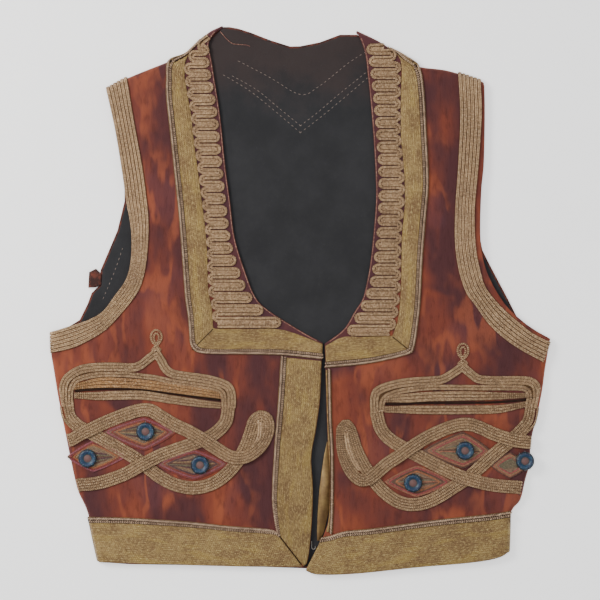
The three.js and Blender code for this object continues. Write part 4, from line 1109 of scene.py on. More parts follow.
class Finish:
    """A material under construction."""

    def __init__(self, name, settings):
        self.material = bpy.data.materials.new(name)
        self.material.use_nodes = True
        self.tree = self.material.node_tree
        self.tree.nodes.clear()
        self.surface = self.tree.nodes.new("ShaderNodeBsdfPrincipled")
        output = self.tree.nodes.new("ShaderNodeOutputMaterial")
        self.tree.links.new(self.surface.outputs[0], output.inputs["Surface"])
        for key, value in settings.items():
            self.surface.inputs[key].default_value = value

    def node(self, kind, settings=None, sockets=None, out=0):
        """Any node: its settings are set first, then the values or links of its sockets."""
        made = self.tree.nodes.new(kind)
        for key, value in (settings or {}).items():
            if key == "stops":
                ramp = made.color_ramp
                while len(ramp.elements) < len(value):
                    ramp.elements.new(0.5)
                for element, (position, colour) in zip(ramp.elements, value):
                    element.position = position
                    element.color = (*colour[:3], 1)
            else:
                setattr(made, key, value)
        for key, value in (sockets or {}).items():
            if isinstance(value, Value):
                self.tree.links.new(value.socket, made.inputs[key])
            else:
                made.inputs[key].default_value = value
        return Value(self, made.outputs[out])

    def feed(self, name, value):
        """Links a value to one of the surface's sockets."""
        self.tree.links.new(value.socket, self.surface.inputs[name])

    def place(self, scale=(1, 1, 1), turn=0.0, layer=None):
        """Object coordinates, or the piece's own map, stretched and turned."""
        if layer:
            source = self.node("ShaderNodeUVMap", {"uv_map": layer})
        else:
            source = self.node("ShaderNodeTexCoord", None, None, "Object")
        return self.node("ShaderNodeMapping", None,
                         {"Vector": source, "Scale": scale, "Rotation": (0, 0, math.radians(turn))})

    def noise(self, where, scale, detail=2.0, rough=0.5):
        """Soft noise from nought to one."""
        return self.node("ShaderNodeTexNoise", None,
                         {"Vector": where, "Scale": scale, "Detail": detail, "Roughness": rough})

    def span(self, value, low, high):
        """A value stretched so that low is nought and high is one."""
        return self.node("ShaderNodeMapRange", {"interpolation_type": "SMOOTHSTEP"},
                         {"Value": value, "From Min": low, "From Max": high})

    def mix(self, share, first, second, kind="MIX"):
        """Two colours mixed by a share."""
        return self.node("ShaderNodeMix", {"data_type": "RGBA", "blend_type": kind},
                         {0: share, 6: first, 7: second}, 2)

    def wave(self, where, axis, pitch):
        """A smooth ripple from nought to one along an axis, with a pitch in metres."""
        part = self.node("ShaderNodeSeparateXYZ", None, {0: where}, axis)
        ripple = self.node("ShaderNodeMath", {"operation": "SINE"}, {0: part * (2 * math.pi / pitch)})
        return ripple * 0.5 + 0.5

    def bump(self, height, distance, strength=1.0):
        """Relief of a height in metres."""
        self.feed("Normal", self.node("ShaderNodeBump", None, {
            "Height": height, "Distance": distance, "Strength": strength}))


def rgb(red, green, blue, alpha=1.0):
    """A colour read off as 0 to 255 in sRGB, made linear."""
    def linear(part):
        part = part / 255
        return part / 12.92 if part <= 0.04045 else ((part + 0.055) / 1.055) ** 2.4
    return (linear(red), linear(green), linear(blue), alpha)


def thread_dyes(*names):
    """Colours of thread by their names."""
    return [THREADS[name] for name in names]


THREADS = {
    "plum": rgb(92, 48, 62), "pink": rgb(176, 92, 108), "rose": rgb(188, 84, 84), "red": rgb(156, 56, 50),
    "orange": rgb(196, 120, 72), "tan": rgb(170, 136, 96), "sage": rgb(128, 120, 92),
    "brown": rgb(110, 70, 54), "salmon": rgb(186, 120, 90),
}
EYE_DYES = {
    "top_left": thread_dyes("red", "pink", "red", "orange", "sage", "brown", "tan", "sage", "plum"),
    "outer_left": thread_dyes("pink", "red", "orange", "tan", "plum", "sage", "brown"),
    "inner_left": thread_dyes("red", "pink", "red", "plum", "brown", "sage", "plum", "tan"),
    "top_right": thread_dyes("brown", "salmon", "rose", "tan", "brown", "salmon", "sage", "tan"),
    "inner_right": thread_dyes("salmon", "rose", "brown", "orange", "sage", "salmon", "brown"),
    "outer_right": thread_dyes("brown", "salmon", "tan", "rose", "sage"),
}
RING_THREAD = rgb(170, 186, 190)


def velvet_finish():
    """Crushed velvet: random dark patches, bright rims as a painted highlight, and nap that catches painted
    light and shade on each crease.
    """
    cloth = bpy.context.scene.vest_cloth
    finish = Finish("Velvet", {"Sheen Weight": 0.4, "Sheen Roughness": 0.4, "Sheen Tint": rgb(214, 122, 80),
                               "Specular IOR Level": 0.2})
    flat = finish.place()
    streak = finish.place((1, 0.34, 1), 7)
    lean = finish.node("ShaderNodeAttribute", {"attribute_name": "lean"}, None, "Fac")
    worn = finish.node("ShaderNodeAttribute", {"attribute_name": "worn"}, None, "Fac")
    drift = finish.noise(flat, 17, 3, 0.5)
    # The crush mixes random patches of the pile with painted light and shade from the slope of each crease.
    crush = finish.noise(streak, 34, 3, 0.5) * 0.66 + drift * 0.34 + (lean - 0.5) * 0.42
    nap = finish.noise(streak, 240, 4, 0.6)
    fold = finish.noise(streak, 30, 2.5, 0.5)
    # Painted highlight: bright rims along the edges of the fold noise, in the glint colour.
    rim = finish.span(finish.span(fold, 0.42, 0.5) - finish.span(fold, 0.5, 0.57), 0.3, 1.0)
    base = finish.mix(finish.span(crush, 0.36, 0.6), tuple(cloth.shadow), tuple(cloth.colour))
    # Painted shade: purple-brown in soft random patches.
    base = finish.mix(finish.span(drift, 0.48, 0.66) * 0.45, base, tuple(cloth.purple_shade))
    # Painted highlight: the glint colour where the crush is high.
    base = finish.mix(finish.span(crush, 0.52, 0.74) * 0.45, base, tuple(cloth.glint))
    base = finish.mix(rim * finish.span(drift, 0.4, 0.6) * 0.5, base, tuple(cloth.glint))
    base = finish.mix(finish.span(nap, 0.5, 0.3) * 0.3, base, rgb(54, 28, 28))
    # Painted shade: darker plum towards the neck edge, between the comb's fingers.
    base = finish.mix(worn, base, rgb(74, 44, 50))
    finish.feed("Base Color", base)
    finish.feed("Roughness", 0.92 - nap * 0.2)
    finish.bump(nap + finish.noise(flat, 1500, 2) * 0.4, 0.0009, 0.7)
    return finish.material


def facing_finish():
    """The darker velvet seen at the edges of the back, in random patches."""
    finish = Finish("Dark Edge Velvet", {"Roughness": 0.9, "Specular IOR Level": 0.15, "Sheen Weight": 0.15})
    patch = finish.span(finish.noise(finish.place(), 130, 4, 0.65), 0.35, 0.7)
    finish.feed("Base Color", finish.mix(patch, rgb(58, 40, 38), rgb(116, 62, 50)))
    finish.bump(finish.noise(finish.place(), 900, 3), 0.0006)
    return finish.material


def lining_finish():
    """Dark cotton lining in a fine plain weave, warmer at the yoke."""
    finish = Finish("Lining", {"Specular IOR Level": 0.15, "Sheen Weight": 0.05, "Sheen Roughness": 0.5})
    flat = finish.place()
    weave = finish.wave(flat, 0, 0.0009) * finish.wave(flat, 1, 0.0009)
    cloud = finish.span(finish.noise(flat, 26, 4, 0.6), 0.3, 0.75)
    height = finish.node("ShaderNodeSeparateXYZ", None, {0: flat}, 1)
    yoke = finish.span(height + (cloud - 0.5) * 0.05, 0.175, 0.245)
    base = finish.mix(cloud, rgb(44, 44, 46), rgb(52, 52, 54))
    base = finish.mix(yoke * 0.7, base, rgb(62, 50, 48))
    # Painted light: lighter on the raised crests of the weave.
    base = finish.mix(weave * 0.3, base, rgb(66, 66, 68))
    base = finish.mix(finish.span(finish.noise(flat, 420, 3, 0.7), 0.6, 0.8) * 0.3, base, rgb(74, 74, 76))
    finish.feed("Base Color", base)
    finish.feed("Roughness", 0.97 - cloud * 0.08)
    finish.bump(weave + finish.noise(flat, 90, 4) * 3, 0.0004, 0.6)
    return finish.material


def mark_finish():
    """The dark line of a fold or a row of sewing, and the painted shade laid in the slit between the welts
    and under the rows of a tape's plaited edge.
    """
    finish = Finish("Dark Line", {"Roughness": 0.9, "Specular IOR Level": 0.1})
    speck = finish.noise(finish.place(), 300, 2)
    finish.feed("Base Color", finish.mix(speck, rgb(26, 18, 16), rgb(58, 40, 32)))
    return finish.material


def galloon_finish():
    """Flat metal-thread tape in a close rib, yellow where it is clean and brown where it is rubbed."""
    tape = bpy.context.scene.vest_tape
    finish = Finish("Galloon", {"Specular IOR Level": 0.4})
    cloth = finish.place((1, 1, 1), 0, "weave")
    slant = finish.place((1, 1, 1), 38, "weave")
    flat = finish.place()
    rib = finish.wave(cloth, 1, tape.rib)
    twill = finish.wave(slant, 0, tape.rib * 0.8)
    block = finish.noise(finish.place((0.3, 1, 1), 0, "weave"), 120, 2, 0.4)
    mottle = finish.span(finish.noise(flat, 60, 5, 0.7), 0.36, 0.66)
    grain = finish.noise(finish.place((0.55, 1, 1), 0, "weave"), 620, 3, 0.8)
    base = finish.mix(mottle, rgb(124, 94, 60), tuple(tape.colour))
    base = finish.mix(finish.span(block, 0.5, 0.68) * 0.5, base, rgb(180, 152, 78))
    base = finish.mix(finish.span(grain, 0.5, 0.66) * 0.75, base, rgb(214, 190, 130))
    base = finish.mix(finish.span(grain, 0.47, 0.32) * 0.75, base, rgb(86, 62, 36))
    # Painted shade: darker in the grooves of the rib and twill.
    base = finish.mix((1 - rib * twill) * 0.35, base, rgb(108, 84, 50))
    finish.feed("Base Color", base)
    finish.feed("Metallic", 0.15 + mottle * 0.2)
    finish.feed("Roughness", 0.66 - mottle * 0.14)
    finish.bump(rib * twill + grain * 1.5, 0.0006, 0.8)
    return finish.material


def strand_finish(name, dark, light, metal, rough):
    """Metal thread of a braid, each stitch a little lighter or darker than the next."""
    finish = Finish(name, {"Specular IOR Level": 0.45})
    flat = finish.place()
    tone = finish.node("ShaderNodeAttribute", {"attribute_name": "tone"}, None, "Fac")
    patch = finish.span(finish.noise(flat, 55, 3, 0.6), 0.34, 0.68)
    thread = finish.noise(finish.place((1, 1, 3)), 2600, 1)
    base = finish.mix(tone * 0.55 + patch * 0.45, dark, light)
    speck = finish.noise(flat, 700, 2, 0.6)
    base = finish.mix(finish.span(thread, 0.6, 0.35) * 0.3, base, rgb(88, 66, 42))
    base = finish.mix(finish.span(speck, 0.52, 0.66) * 0.6, base, rgb(222, 194, 158))
    base = finish.mix(finish.span(speck, 0.48, 0.34) * 0.5, base, rgb(92, 70, 50))
    finish.feed("Base Color", base)
    finish.feed("Metallic", patch * 0.15 + metal)
    finish.feed("Roughness", rough + thread * 0.12)
    finish.bump(thread, 0.00025, 0.6)
    return finish.material


def braid_finish():
    """The tan-gold thread of most of the braid."""
    return strand_finish("Braid", rgb(146, 116, 86), tuple(bpy.context.scene.vest_braid.colour), 0.12, 0.5)


def edge_braid_finish():
    """The paler, pinkish thread of the tapes' edges."""
    return strand_finish("Edge Braid", rgb(132, 104, 84), rgb(204, 174, 146), 0.08, 0.55)


def welt_finish():
    """The warmer gold thread of the upper welts."""
    return strand_finish("Welt Gold", rgb(150, 108, 68), rgb(200, 152, 98), 0.15, 0.5)


def ground_finish():
    """The dark couching thread and cloth that show between rows of braid, darkened further as painted shade
    in the gaps.
    """
    finish = Finish("Couching", {"Specular IOR Level": 0.2, "Roughness": 0.85})
    flat = finish.place()
    speck = finish.noise(flat, 900, 3, 0.6)
    finish.feed("Base Color", finish.mix(finish.span(speck, 0.35, 0.7), rgb(58, 40, 28), rgb(112, 82, 54)))
    finish.bump(speck, 0.0003)
    return finish.material


def dyed_finish():
    """Embroidery thread, dyed stitch by stitch from the piece's own colours."""
    finish = Finish("Embroidery", {"Specular IOR Level": 0.35, "Sheen Weight": 0.2, "Sheen Roughness": 0.4})
    dye = finish.node("ShaderNodeAttribute", {"attribute_name": "dye"}, None, "Color")
    tone = finish.node("ShaderNodeAttribute", {"attribute_name": "tone"}, None, "Fac")
    thread = finish.noise(finish.place(), 2400, 1)
    base = finish.mix(tone * 0.45, dye, rgb(60, 44, 44), "MULTIPLY")
    finish.feed("Base Color", finish.mix(finish.span(thread, 0.62, 0.4) * 0.3, base, rgb(50, 34, 34)))
    finish.feed("Roughness", 0.5 + thread * 0.2)
    finish.bump(thread, 0.0002, 0.6)
    return finish.material


def ring_finish():
    """Glossy blue of a ring button, with a teal inner ring flecked with a painted highlight, and a dull
    brown-pink middle.
    """
    buttons = bpy.context.scene.vest_buttons
    finish = Finish("Ring Button", {"Coat Weight": 0.12, "Coat Roughness": 0.3})
    reach = finish.node("ShaderNodeAttribute", {"attribute_name": "reach"}, None, "Fac")
    speck = finish.noise(finish.place(), 700, 3, 0.7)
    ramp = finish.node("ShaderNodeValToRGB", {"stops": [
        (0.0, rgb(104, 68, 62)), (0.4, rgb(88, 58, 56)), (0.47, rgb(10, 18, 30)), (0.56, rgb(16, 48, 66)),
        (0.64, rgb(8, 38, 74)), (0.84, tuple(buttons.colour)), (1.0, rgb(6, 14, 26))]}, {0: reach})
    # Painted highlight: bright teal flecks near the inner edge of the ring.
    teal_glint = finish.span(speck, 0.5, 0.66) * finish.span(reach, 0.44, 0.54) * 0.7
    finish.feed("Base Color", finish.mix(teal_glint, ramp, rgb(36, 96, 116)))
    finish.feed("Roughness", 0.42 + speck * 0.2)
    return finish.material


def steel_finish():
    """Dull grey steel of the hook."""
    finish = Finish("Hook Steel", {"Metallic": 0.9})
    speck = finish.noise(finish.place(), 900, 3, 0.6)
    finish.feed("Base Color", finish.mix(speck, rgb(92, 90, 86), rgb(168, 164, 158)))
    finish.feed("Roughness", 0.4 + speck * 0.25)
    finish.bump(speck, 0.0001)
    return finish.material


def seam_finish():
    """Grey thread of the lining's stitch lines."""
    finish = Finish("Seam Thread", {"Roughness": 0.7, "Specular IOR Level": 0.3})
    speck = finish.noise(finish.place(), 500, 2)
    finish.feed("Base Color", finish.mix(speck, rgb(84, 74, 70), rgb(184, 164, 152)))
    return finish.material


def cord_finish():
    """The fine rust-pink cord of the neck edge."""
    return strand_finish("Edge Cord", rgb(112, 64, 60), rgb(186, 128, 112), 0.0, 0.6)


def eye_ground_finish():
    """Mixed threads that fill an embroidered eye."""
    finish = Finish("Eye Ground", {"Roughness": 0.75, "Specular IOR Level": 0.25})
    streak = finish.noise(finish.place((1, 5, 1)), 420, 3, 0.6)
    finish.feed("Base Color", finish.mix(finish.span(streak, 0.35, 0.65), rgb(84, 56, 50), rgb(140, 118, 92)))
    finish.bump(streak, 0.0003)
    return finish.material


def floor_finish():
    """The plain white surface that the vest lies on."""
    finish = Finish("Floor", {"Roughness": 0.9, "Specular IOR Level": 0.1, "Emission Color": (1, 1, 1, 1),
                              "Emission Strength": 0.8})
    patch = finish.noise(finish.place(), 30, 2)
    finish.feed("Base Color", finish.mix(patch, rgb(244, 244, 244), rgb(250, 250, 250)))
    return finish.material


FINISHES = {
    "velvet": velvet_finish, "facing": facing_finish, "lining": lining_finish, "mark": mark_finish,
    "galloon": galloon_finish, "braid": braid_finish, "edge_braid": edge_braid_finish, "welt": welt_finish,
    "ground": ground_finish, "dyed": dyed_finish, "ring": ring_finish, "steel": steel_finish,
    "seam": seam_finish, "cord": cord_finish, "eye_ground": eye_ground_finish, "floor": floor_finish,
}


def settle(piece, nodes):
    """Puts a finished piece on the vest's one body, in the place of its solids."""
    if not piece.data.polygons:
        raise RuntimeError(f"{piece.name}: the piece came out empty")
    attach(piece, "root")
    if nodes:
        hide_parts(*nodes)
    return piece


# Sizes and colours that a user would change


def colour_setting(name, description, default):
    """A setting for one colour."""
    return FloatVectorProperty(name=name, description=description, subtype="COLOR", size=4, default=default)


class VestCloth(bpy.types.PropertyGroup):
    """Colours of the velvet."""

    colour: colour_setting("Velvet", "Main colour of the nap", rgb(118, 58, 44))
    shadow: colour_setting("Shadow", "Colour where the nap lies away", rgb(76, 43, 45))
    # The purple-brown is a painted shade of the nap.
    purple_shade: colour_setting("Purple Shade", "Purple-brown painted shade in soft patches", rgb(84, 52, 60))
    # The glint is a painted highlight of the nap.
    glint: colour_setting("Glint", "Lightest streaks of the nap", rgb(162, 86, 54))


class VestTape(bpy.types.PropertyGroup):
    """The galloon tapes."""

    colour: colour_setting("Tape", "Colour of the metal thread", rgb(166, 138, 86))
    rib: FloatProperty(
        name="Rib", description="Pitch of the weave's ribs", unit="LENGTH",
        default=0.0021, min=0.001, max=0.006)


class VestBraid(bpy.types.PropertyGroup):
    """The couched braid."""

    colour: colour_setting("Braid", "Lightest colour of the braid", rgb(198, 164, 124))
    pitch: FloatProperty(
        name="Stitch Pitch", description="Length of one stitch of the braid", unit="LENGTH",
        default=0.0019, min=0.0015, max=0.005)
    seed: IntProperty(name="Seed", description="Seed of the stitches' unevenness", default=4, min=0)


class VestButtons(bpy.types.PropertyGroup):
    """The ring buttons."""

    colour: colour_setting("Button", "Colour of the ring", rgb(9, 34, 68))


class VestStage(bpy.types.PropertyGroup):
    """The camera and the lights."""

    distance: FloatProperty(
        name="Camera Height", description="Height of the camera over the floor", unit="LENGTH",
        default=2.4, min=1.0, max=6.0)
    key: FloatProperty(name="Key Light", description="Power of the main light in watts", default=23, min=0)


# Cloth


def grid_lines(span, count):
    """Places of a front's grid lines as shares of its span, close together at its two edges."""
    even = np.linspace(EVEN_START / span, 1 - EVEN_END / span, count)
    return np.concatenate([np.array(FREE_LINES) / span, even, 1 - np.array(ROLLED_LINES) / span])


def on_two(low, high, share):
    """Points on two edges that meet at a front's corner, at shares of its height."""
    below = np.clip(share / FRONT_CORNER, 0, 1)
    above = np.clip((share - FRONT_CORNER) / (1 - FRONT_CORNER), 0, 1)
    return np.where((share <= FRONT_CORNER)[:, None], low.at(below), high.at(above))


def front_plan(edge):
    """The grid of a front in plan, between its six edges."""
    across, up = grid_lines(*LINES_ACROSS), grid_lines(*LINES_UP)
    inner = on_two(edge["centre"], edge["neck"], up)
    outer = on_two(edge["side"], edge["armhole"], up)
    hem, shoulder = edge["hem"].at(across), edge["shoulder"].at(across)
    u, v = across[None, :, None], up[:, None, None]
    plan = inner[:, None] * (1 - u) + outer[:, None] * u + hem[None] * (1 - v) + shoulder[None] * v
    at_hem = inner[0] * (1 - u) * (1 - v) + outer[0] * u * (1 - v)
    return plan - (at_hem + inner[-1] * (1 - u) * v + outer[-1] * u * v)


def front_piece(side):
    """A velvet front: rolled over at the side and shoulder, rounded at its free edges."""
    front = FRONTS[side]
    plan = front_plan(front.edge)
    top, _ = front.face(plan, 0)
    low, _ = front.face(plan, -VELVET)
    gap, _ = nearest_edge(front.free, plan)
    fall = EDGE_ROUND * (1 - np.sqrt(1 - np.clip(1 - gap / EDGE_ROUND, 0, 1) ** 2))
    top[..., 2] -= fall
    low[..., 2] = np.maximum(low[..., 2], 0)
    top[..., 2] = np.maximum(top[..., 2], low[..., 2] + ROLL_EDGE)
    points, faces = wall(top, low)
    piece = mesh_piece(f"velvet_front_{side}", points, faces, [ROOM.finish("velvet")])
    # Painted light and shade: the slope of each crease, kept for the velvet's colour.
    slope_x, slope_y = front.slopes(plan[..., 0], plan[..., 1])
    lean = np.clip(0.5 + SLOPE_LIGHT_GAIN * (slope_x + 0.5 * slope_y), 0, 1)
    # Painted shade: the velvet darkened towards the neck edge, between the comb's fingers.
    to_neck, _ = nearest_edge(front.free[1:2], plan)
    worn = NECK_SHADE_DEPTH * np.clip(1 - (to_neck - NECK_SHADE) / NECK_SHADE_FADE, 0, 1)
    for name, values in (("lean", lean), ("worn", worn)):
        attribute = piece.data.attributes.new(name, "FLOAT", "POINT")
        attribute.data.foreach_set("value", np.concatenate([values.ravel()] * 2).astype(np.float32))
    return piece


def inset(outline, margin):
    """An outline that runs anticlockwise, moved inwards by a margin."""
    table = np.array(outline, float)
    before = unit(table - np.roll(table, 1, axis=0))
    after = unit(np.roll(table, -1, axis=0) - table)
    heading = unit(before + after)
    return table + np.stack([-heading[:, 1], heading[:, 0]], -1) * margin


def flat_cloth(name, outline, base, thickness, finish, round_by, swell):
    """A flat layer of cloth, its upper rim rounded and its upper face a little uneven."""
    shell = bmesh.new()
    sheet = shell.faces.new([shell.verts.new((x * MM, y * MM, base * MM)) for x, y in outline])
    if sheet.normal.z > 0:
        bmesh.ops.reverse_faces(shell, faces=[sheet])
    low, high = np.min(outline, axis=0), np.max(outline, axis=0)
    for axis, normal in ((0, (1, 0, 0)), (1, (0, 1, 0))):
        for cut in np.arange(low[axis] + CLOTH_GRID, high[axis] - 3, CLOTH_GRID):
            place = [0, 0, base * MM]
            place[axis] = cut * MM
            everything = shell.verts[:] + shell.edges[:] + shell.faces[:]
            bmesh.ops.bisect_plane(shell, geom=everything, plane_co=place, plane_no=normal, dist=1e-7)
    lifted = bmesh.ops.extrude_face_region(shell, geom=shell.faces[:], use_keep_orig=True)["geom"]
    tops = {item for item in lifted if isinstance(item, bmesh.types.BMVert)}
    for vert in tops:
        x, y = vert.co.x / MM, vert.co.y / MM
        wander = math.sin(x / 19 + 1.3 * math.sin(y / 31)) * math.sin(y / 23 + 0.9 * math.sin(x / 27))
        vert.co.z += (thickness + swell * (0.5 + 0.5 * wander)) * MM
    bmesh.ops.recalc_face_normals(shell, faces=shell.faces)
    shell.normal_update()
    rim = [edge for edge in shell.edges if edge.verts[0] in tops and edge.verts[1] in tops
           and any(abs(face.normal.z) < 0.5 for face in edge.link_faces)]
    bmesh.ops.bevel(shell, geom=rim, offset=round_by * MM, segments=2, affect="EDGES", profile=0.5)
    mesh = bpy.data.meshes.new(name)
    shell.to_mesh(mesh)
    shell.free()
    mesh.shade_smooth()
    mesh.materials.append(ROOM.finish(finish))
    return placed(name, mesh)


def flat_rows(lines, height):
    """Paths over flat cloth at a height above the floor, each through a table of x, y rows."""
    paths = []
    for rows in lines:
        line = Line(rows)
        places = line.at(np.linspace(0, 1, max(3, round(line.length / FINE_STEP))))
        points = np.column_stack([places, np.full(len(places), height)])
        paths.append({"points": points, "up": np.tile([0.0, 0.0, 1.0], (len(points), 1))})
    return paths


class VEST_OT_back(bpy.types.Operator):
    """Makes the back: its velvet, its lining and the stitch lines of the lining"""

    bl_idname = "vest.back"
    bl_label = "Back"

    def execute(self, context):
        back = flat_cloth("velvet_back", BACK_OUTLINE, 0, VELVET, "facing", 0.7, 0)
        settle(back, ["back_panel"])
        outline = inset(BACK_OUTLINE, LINING_MARGIN)
        lining = flat_cloth("lining_back", outline, LINING_BASE, LINING, "lining", 0.4, LINING_SWELL)
        seams = flat_rows(LINING_SEAMS, LINING_BASE + LINING + LINING_SWELL)
        lining = joined("lining_back", [lining, stitched("lining_stitches", seams, "seam", 4.8, "seam")])
        settle(lining, ["back_lining"])
        return {"FINISHED"}


class VEST_OT_fronts(bpy.types.Operator):
    """Makes the two velvet fronts and the fine cord along their neck edges"""

    bl_idname = "vest.fronts"
    bl_label = "Fronts"

    def execute(self, context):
        for side, front in FRONTS.items():
            cloth = front_piece(side)
            settle(cloth, [f"front_{side}"])
            places = front.edge["neck"].at(np.linspace(*NECK_CORD, 150))
            _, out = nearest_edge([front.free[1]], places)
            points, up = front.face(places - out * NECK_CORD_INSET, 0.0)
            path = {"points": points, "up": up}
            cord = stitched(f"neck_cord_{side}", [path], "cord", NECK_CORD_PITCH, "cord")
            settle(cord, [])
        return {"FINISHED"}


# Tape and braid


def part_of(stations, low, high, lift):
    """Stations of the strip between two distances from the first edge, lifted."""
    run = unit(stations["b"] - stations["a"])
    part = stations_of(stations["a"] + run * low, stations["a"] + run * high, 0)
    part["lift"] = stations["lift"] + lift
    return part


class VEST_OT_tapes(bpy.types.Operator):
    """Makes the galloon tapes of the neck, centre front and hem, each with its plaited edge"""

    bl_idname = "vest.tapes"
    bl_label = "Galloon Tapes"

    def execute(self, context):
        for name, stretches in TAPES.items():
            front = side_of(name)
            parts = [between(first, second) for first, second in stretches]
            stations = {key: np.concatenate([part[key] for part in parts]) for key in parts[0]}
            narrow = name.startswith("centre_edge")
            section, rows = (NARROW_SECTION, NARROW_EDGE_ROWS) if narrow else (TAPE_SECTION, EDGE_ROWS)
            tape = strip(name, front, stations, section, ROOM.finish("galloon"), 0)
            # Painted shade: a dark strip under the plaited rows, which shows between them.
            ground = part_of(stations, EDGE_SHADE[0], rows[-1] + EDGE_SHADE[1], EDGE_SHADE_LIFT)
            edge_shade = strip(f"{name}.ground", front, ground, EDGE_SHADE_SECTION, ROOM.finish("mark"), 0)
            paths = []
            for reach in rows:
                row = part_of(stations, reach, reach + 1, EDGE_ROW_LIFT)
                paths += row_paths(front, row, [0], ROW_RISE, EDGE_ROW_MARGIN)
            edge = stitched(f"{name}.edge", paths[:1], "twist", 2.3, "edge_braid", 1.0, 0.15)
            pieces = [tape, edge_shade, edge]
            if paths[1:]:
                pieces.append(stitched(f"{name}.inner", paths[1:], "plait", 2.2, "edge_braid", 0.8, 0.15))
            settle(joined(f"tape_{name}", pieces), [name])
        points, faces = extruded(TURNED_TAPE, FRONT_BASE, TAPE)
        turned = mesh_piece("tape_turned_under", points, faces, [ROOM.finish("galloon")])
        settle(turned, ["centre_tape_right"])
        for number, (side, rows) in enumerate(MITRES):
            line = flat_line(rows)
            mitre = strip(f"mitre_{number}", FRONTS[side], line, MITRE_SECTION, ROOM.finish("mark"), 0)
            settle(mitre, [])
        return {"FINISHED"}


def flat_line(rows):
    """Stations of a thin line over a tape."""
    start, end = np.array(rows, float)
    points = start + (end - start) * np.linspace(0, 1, 8)[:, None]
    aside = unit(np.array([start[1] - end[1], end[0] - start[0]])) * MITRE_WIDTH / 2
    return stations_of(points + aside, points - aside, TAPE + 0.1)


def extruded(outline, base, thickness):
    """Points and faces of a flat solid on an outline."""
    count = len(outline)
    points = [(x, y, base) for x, y in outline] + [(x, y, base + thickness) for x, y in outline]
    faces = [tuple(range(count)), tuple(range(count, 2 * count))]
    faces += [(i, (i + 1) % count, (i + 1) % count + count, i + count) for i in range(count)]
    return points, faces


def braided_band(name, node, front, stations, rows, finish="braid", margin=SIDE_MARGIN, thin=0.5):
    """A band of braid rows side by side on their thin dark ground, partly painted shade between the rows, in
    the place of its solid.
    """
    settings = bpy.context.scene.vest_braid
    pitch = settings.pitch / MM
    width = np.median(np.linalg.norm(stations["a"] - stations["b"], axis=1))
    shares = (np.arange(rows) + 0.5) / rows
    ground = strip(f"{name}.ground", front, stations, [(0, thin), (0.5, thin), (1, thin)],
                   ROOM.finish("ground"), margin)
    paths = row_paths(front, stations, shares, thin + ROW_RISE, margin)
    size = width / rows / ROW_WIDTH
    braid = stitched(f"{name}.rows", paths, "braid", pitch, finish, size, 0.12, settings.seed)
    return settle(joined(name, [ground, braid]), [node] if node else [])


class VEST_OT_armholes(bpy.types.Operator):
    """Makes the braid bands round the armholes"""

    bl_idname = "vest.armholes"
    bl_label = "Armhole Bands"

    def execute(self, context):
        for side, (outer, inner) in ARMHOLE_BANDS.items():
            name = f"armhole_band_{side}"
            braided_band(f"braid_{name}", name, FRONTS[side], between(outer, inner), 6, margin=0)
        return {"FINISHED"}


def comb_path(table):
    """The serpentine of a comb, in level runs from its root line to its tip line and back."""
    count = 2 * table["fingers"]
    pitch = (table["top"] - table["foot"]) / count
    inward = np.sign(table["tip"][0][0] - table["root"][0][0])
    levels = table["top"] - (np.arange(count) + 0.5) * pitch
    ends = []
    for name in ("root", "tip"):
        points = Line(table[name]).points[::-1]
        ends.append(inward * np.interp(levels, points[:, 1], points[:, 0]))
    roots, tips = ends[0] - COMB_REACH["root"], ends[1] + COMB_REACH["tip"]
    for i in range(count - 1):
        side, pick = (roots, max) if i % 2 else (tips, min)
        side[i] = side[i + 1] = pick(side[i], side[i + 1])
    levels += np.where(np.arange(count) % 2, COMB_SLIT, -COMB_SLIT) / 2
    clear = (pitch + COMB_ROW) / 2
    turn = np.radians(np.linspace(-COMB_TURN, COMB_TURN, 5))
    path = [tuple(place) for place in table.get("lead", [])]
    for i in range(count):
        outward = 1 if i % 2 == 0 else -1
        start, end = roots[i] + clear, max(tips[i] - clear, roots[i] + clear + 0.5)
        steps = max(3, int((end - start) / FINE_STEP))
        run = np.linspace(start, end, steps)[::outward]
        path.extend((inward * x, levels[i]) for x in run)
        if i + 1 < count:
            radius = (levels[i] - levels[i + 1]) / 2
            path.extend((inward * (run[-1] + outward * radius * math.cos(angle)),
                         levels[i] - radius * (1 + math.sin(angle))) for angle in turn)
    return np.array(path)


class VEST_OT_combs(bpy.types.Operator):
    """Makes the serpentine braid between the neck tapes and the opening"""

    bl_idname = "vest.combs"
    bl_label = "Neck Combs"

    def execute(self, context):
        for side, table in COMBS.items():
            front = FRONTS[side]
            middle = comb_path(table)
            runs = unit(np.diff(middle, axis=0))
            heading = unit(np.vstack([runs[:1], runs]) + np.vstack([runs, runs[-1:]]))
            aside = np.stack([-heading[:, 1], heading[:, 0]], -1) * COMB_ROW / 2
            stations = stations_of(middle + aside, middle - aside)
            name = f"neck_comb_{side}"
            braided_band(f"braid_{name}", name, front, stations, 2, margin=0, thin=0.4)
        return {"FINISHED"}


def welt_stations(rows):
    """Stations of a welt, given by its centre line and width."""
    line = Line(rows)
    count = max(4, round(line.length / FINE_STEP))
    places = line.at(np.linspace(0, 1, count))
    table = np.array(rows, float)
    half = smooth_curve(table[:, [0, 2]], count)[:, 1] / 2
    rise = np.stack([np.zeros(count), half], -1)
    return stations_of(places + rise, places - rise)


def loop_paths(front, place):
    """The outer row of a pocket's loop, whose ends cross at the peak, and the row inside it."""
    paths = []
    for half in LOOP_ROWS:
        line = np.array(half + [[-x, y] for x, y in half[-2::-1]], float)
        points, up = front.face(np.array(place) + smooth_curve(line, 60), SEAM + LOOP_RISE)
        paths.append({"points": points, "up": up})
    return paths


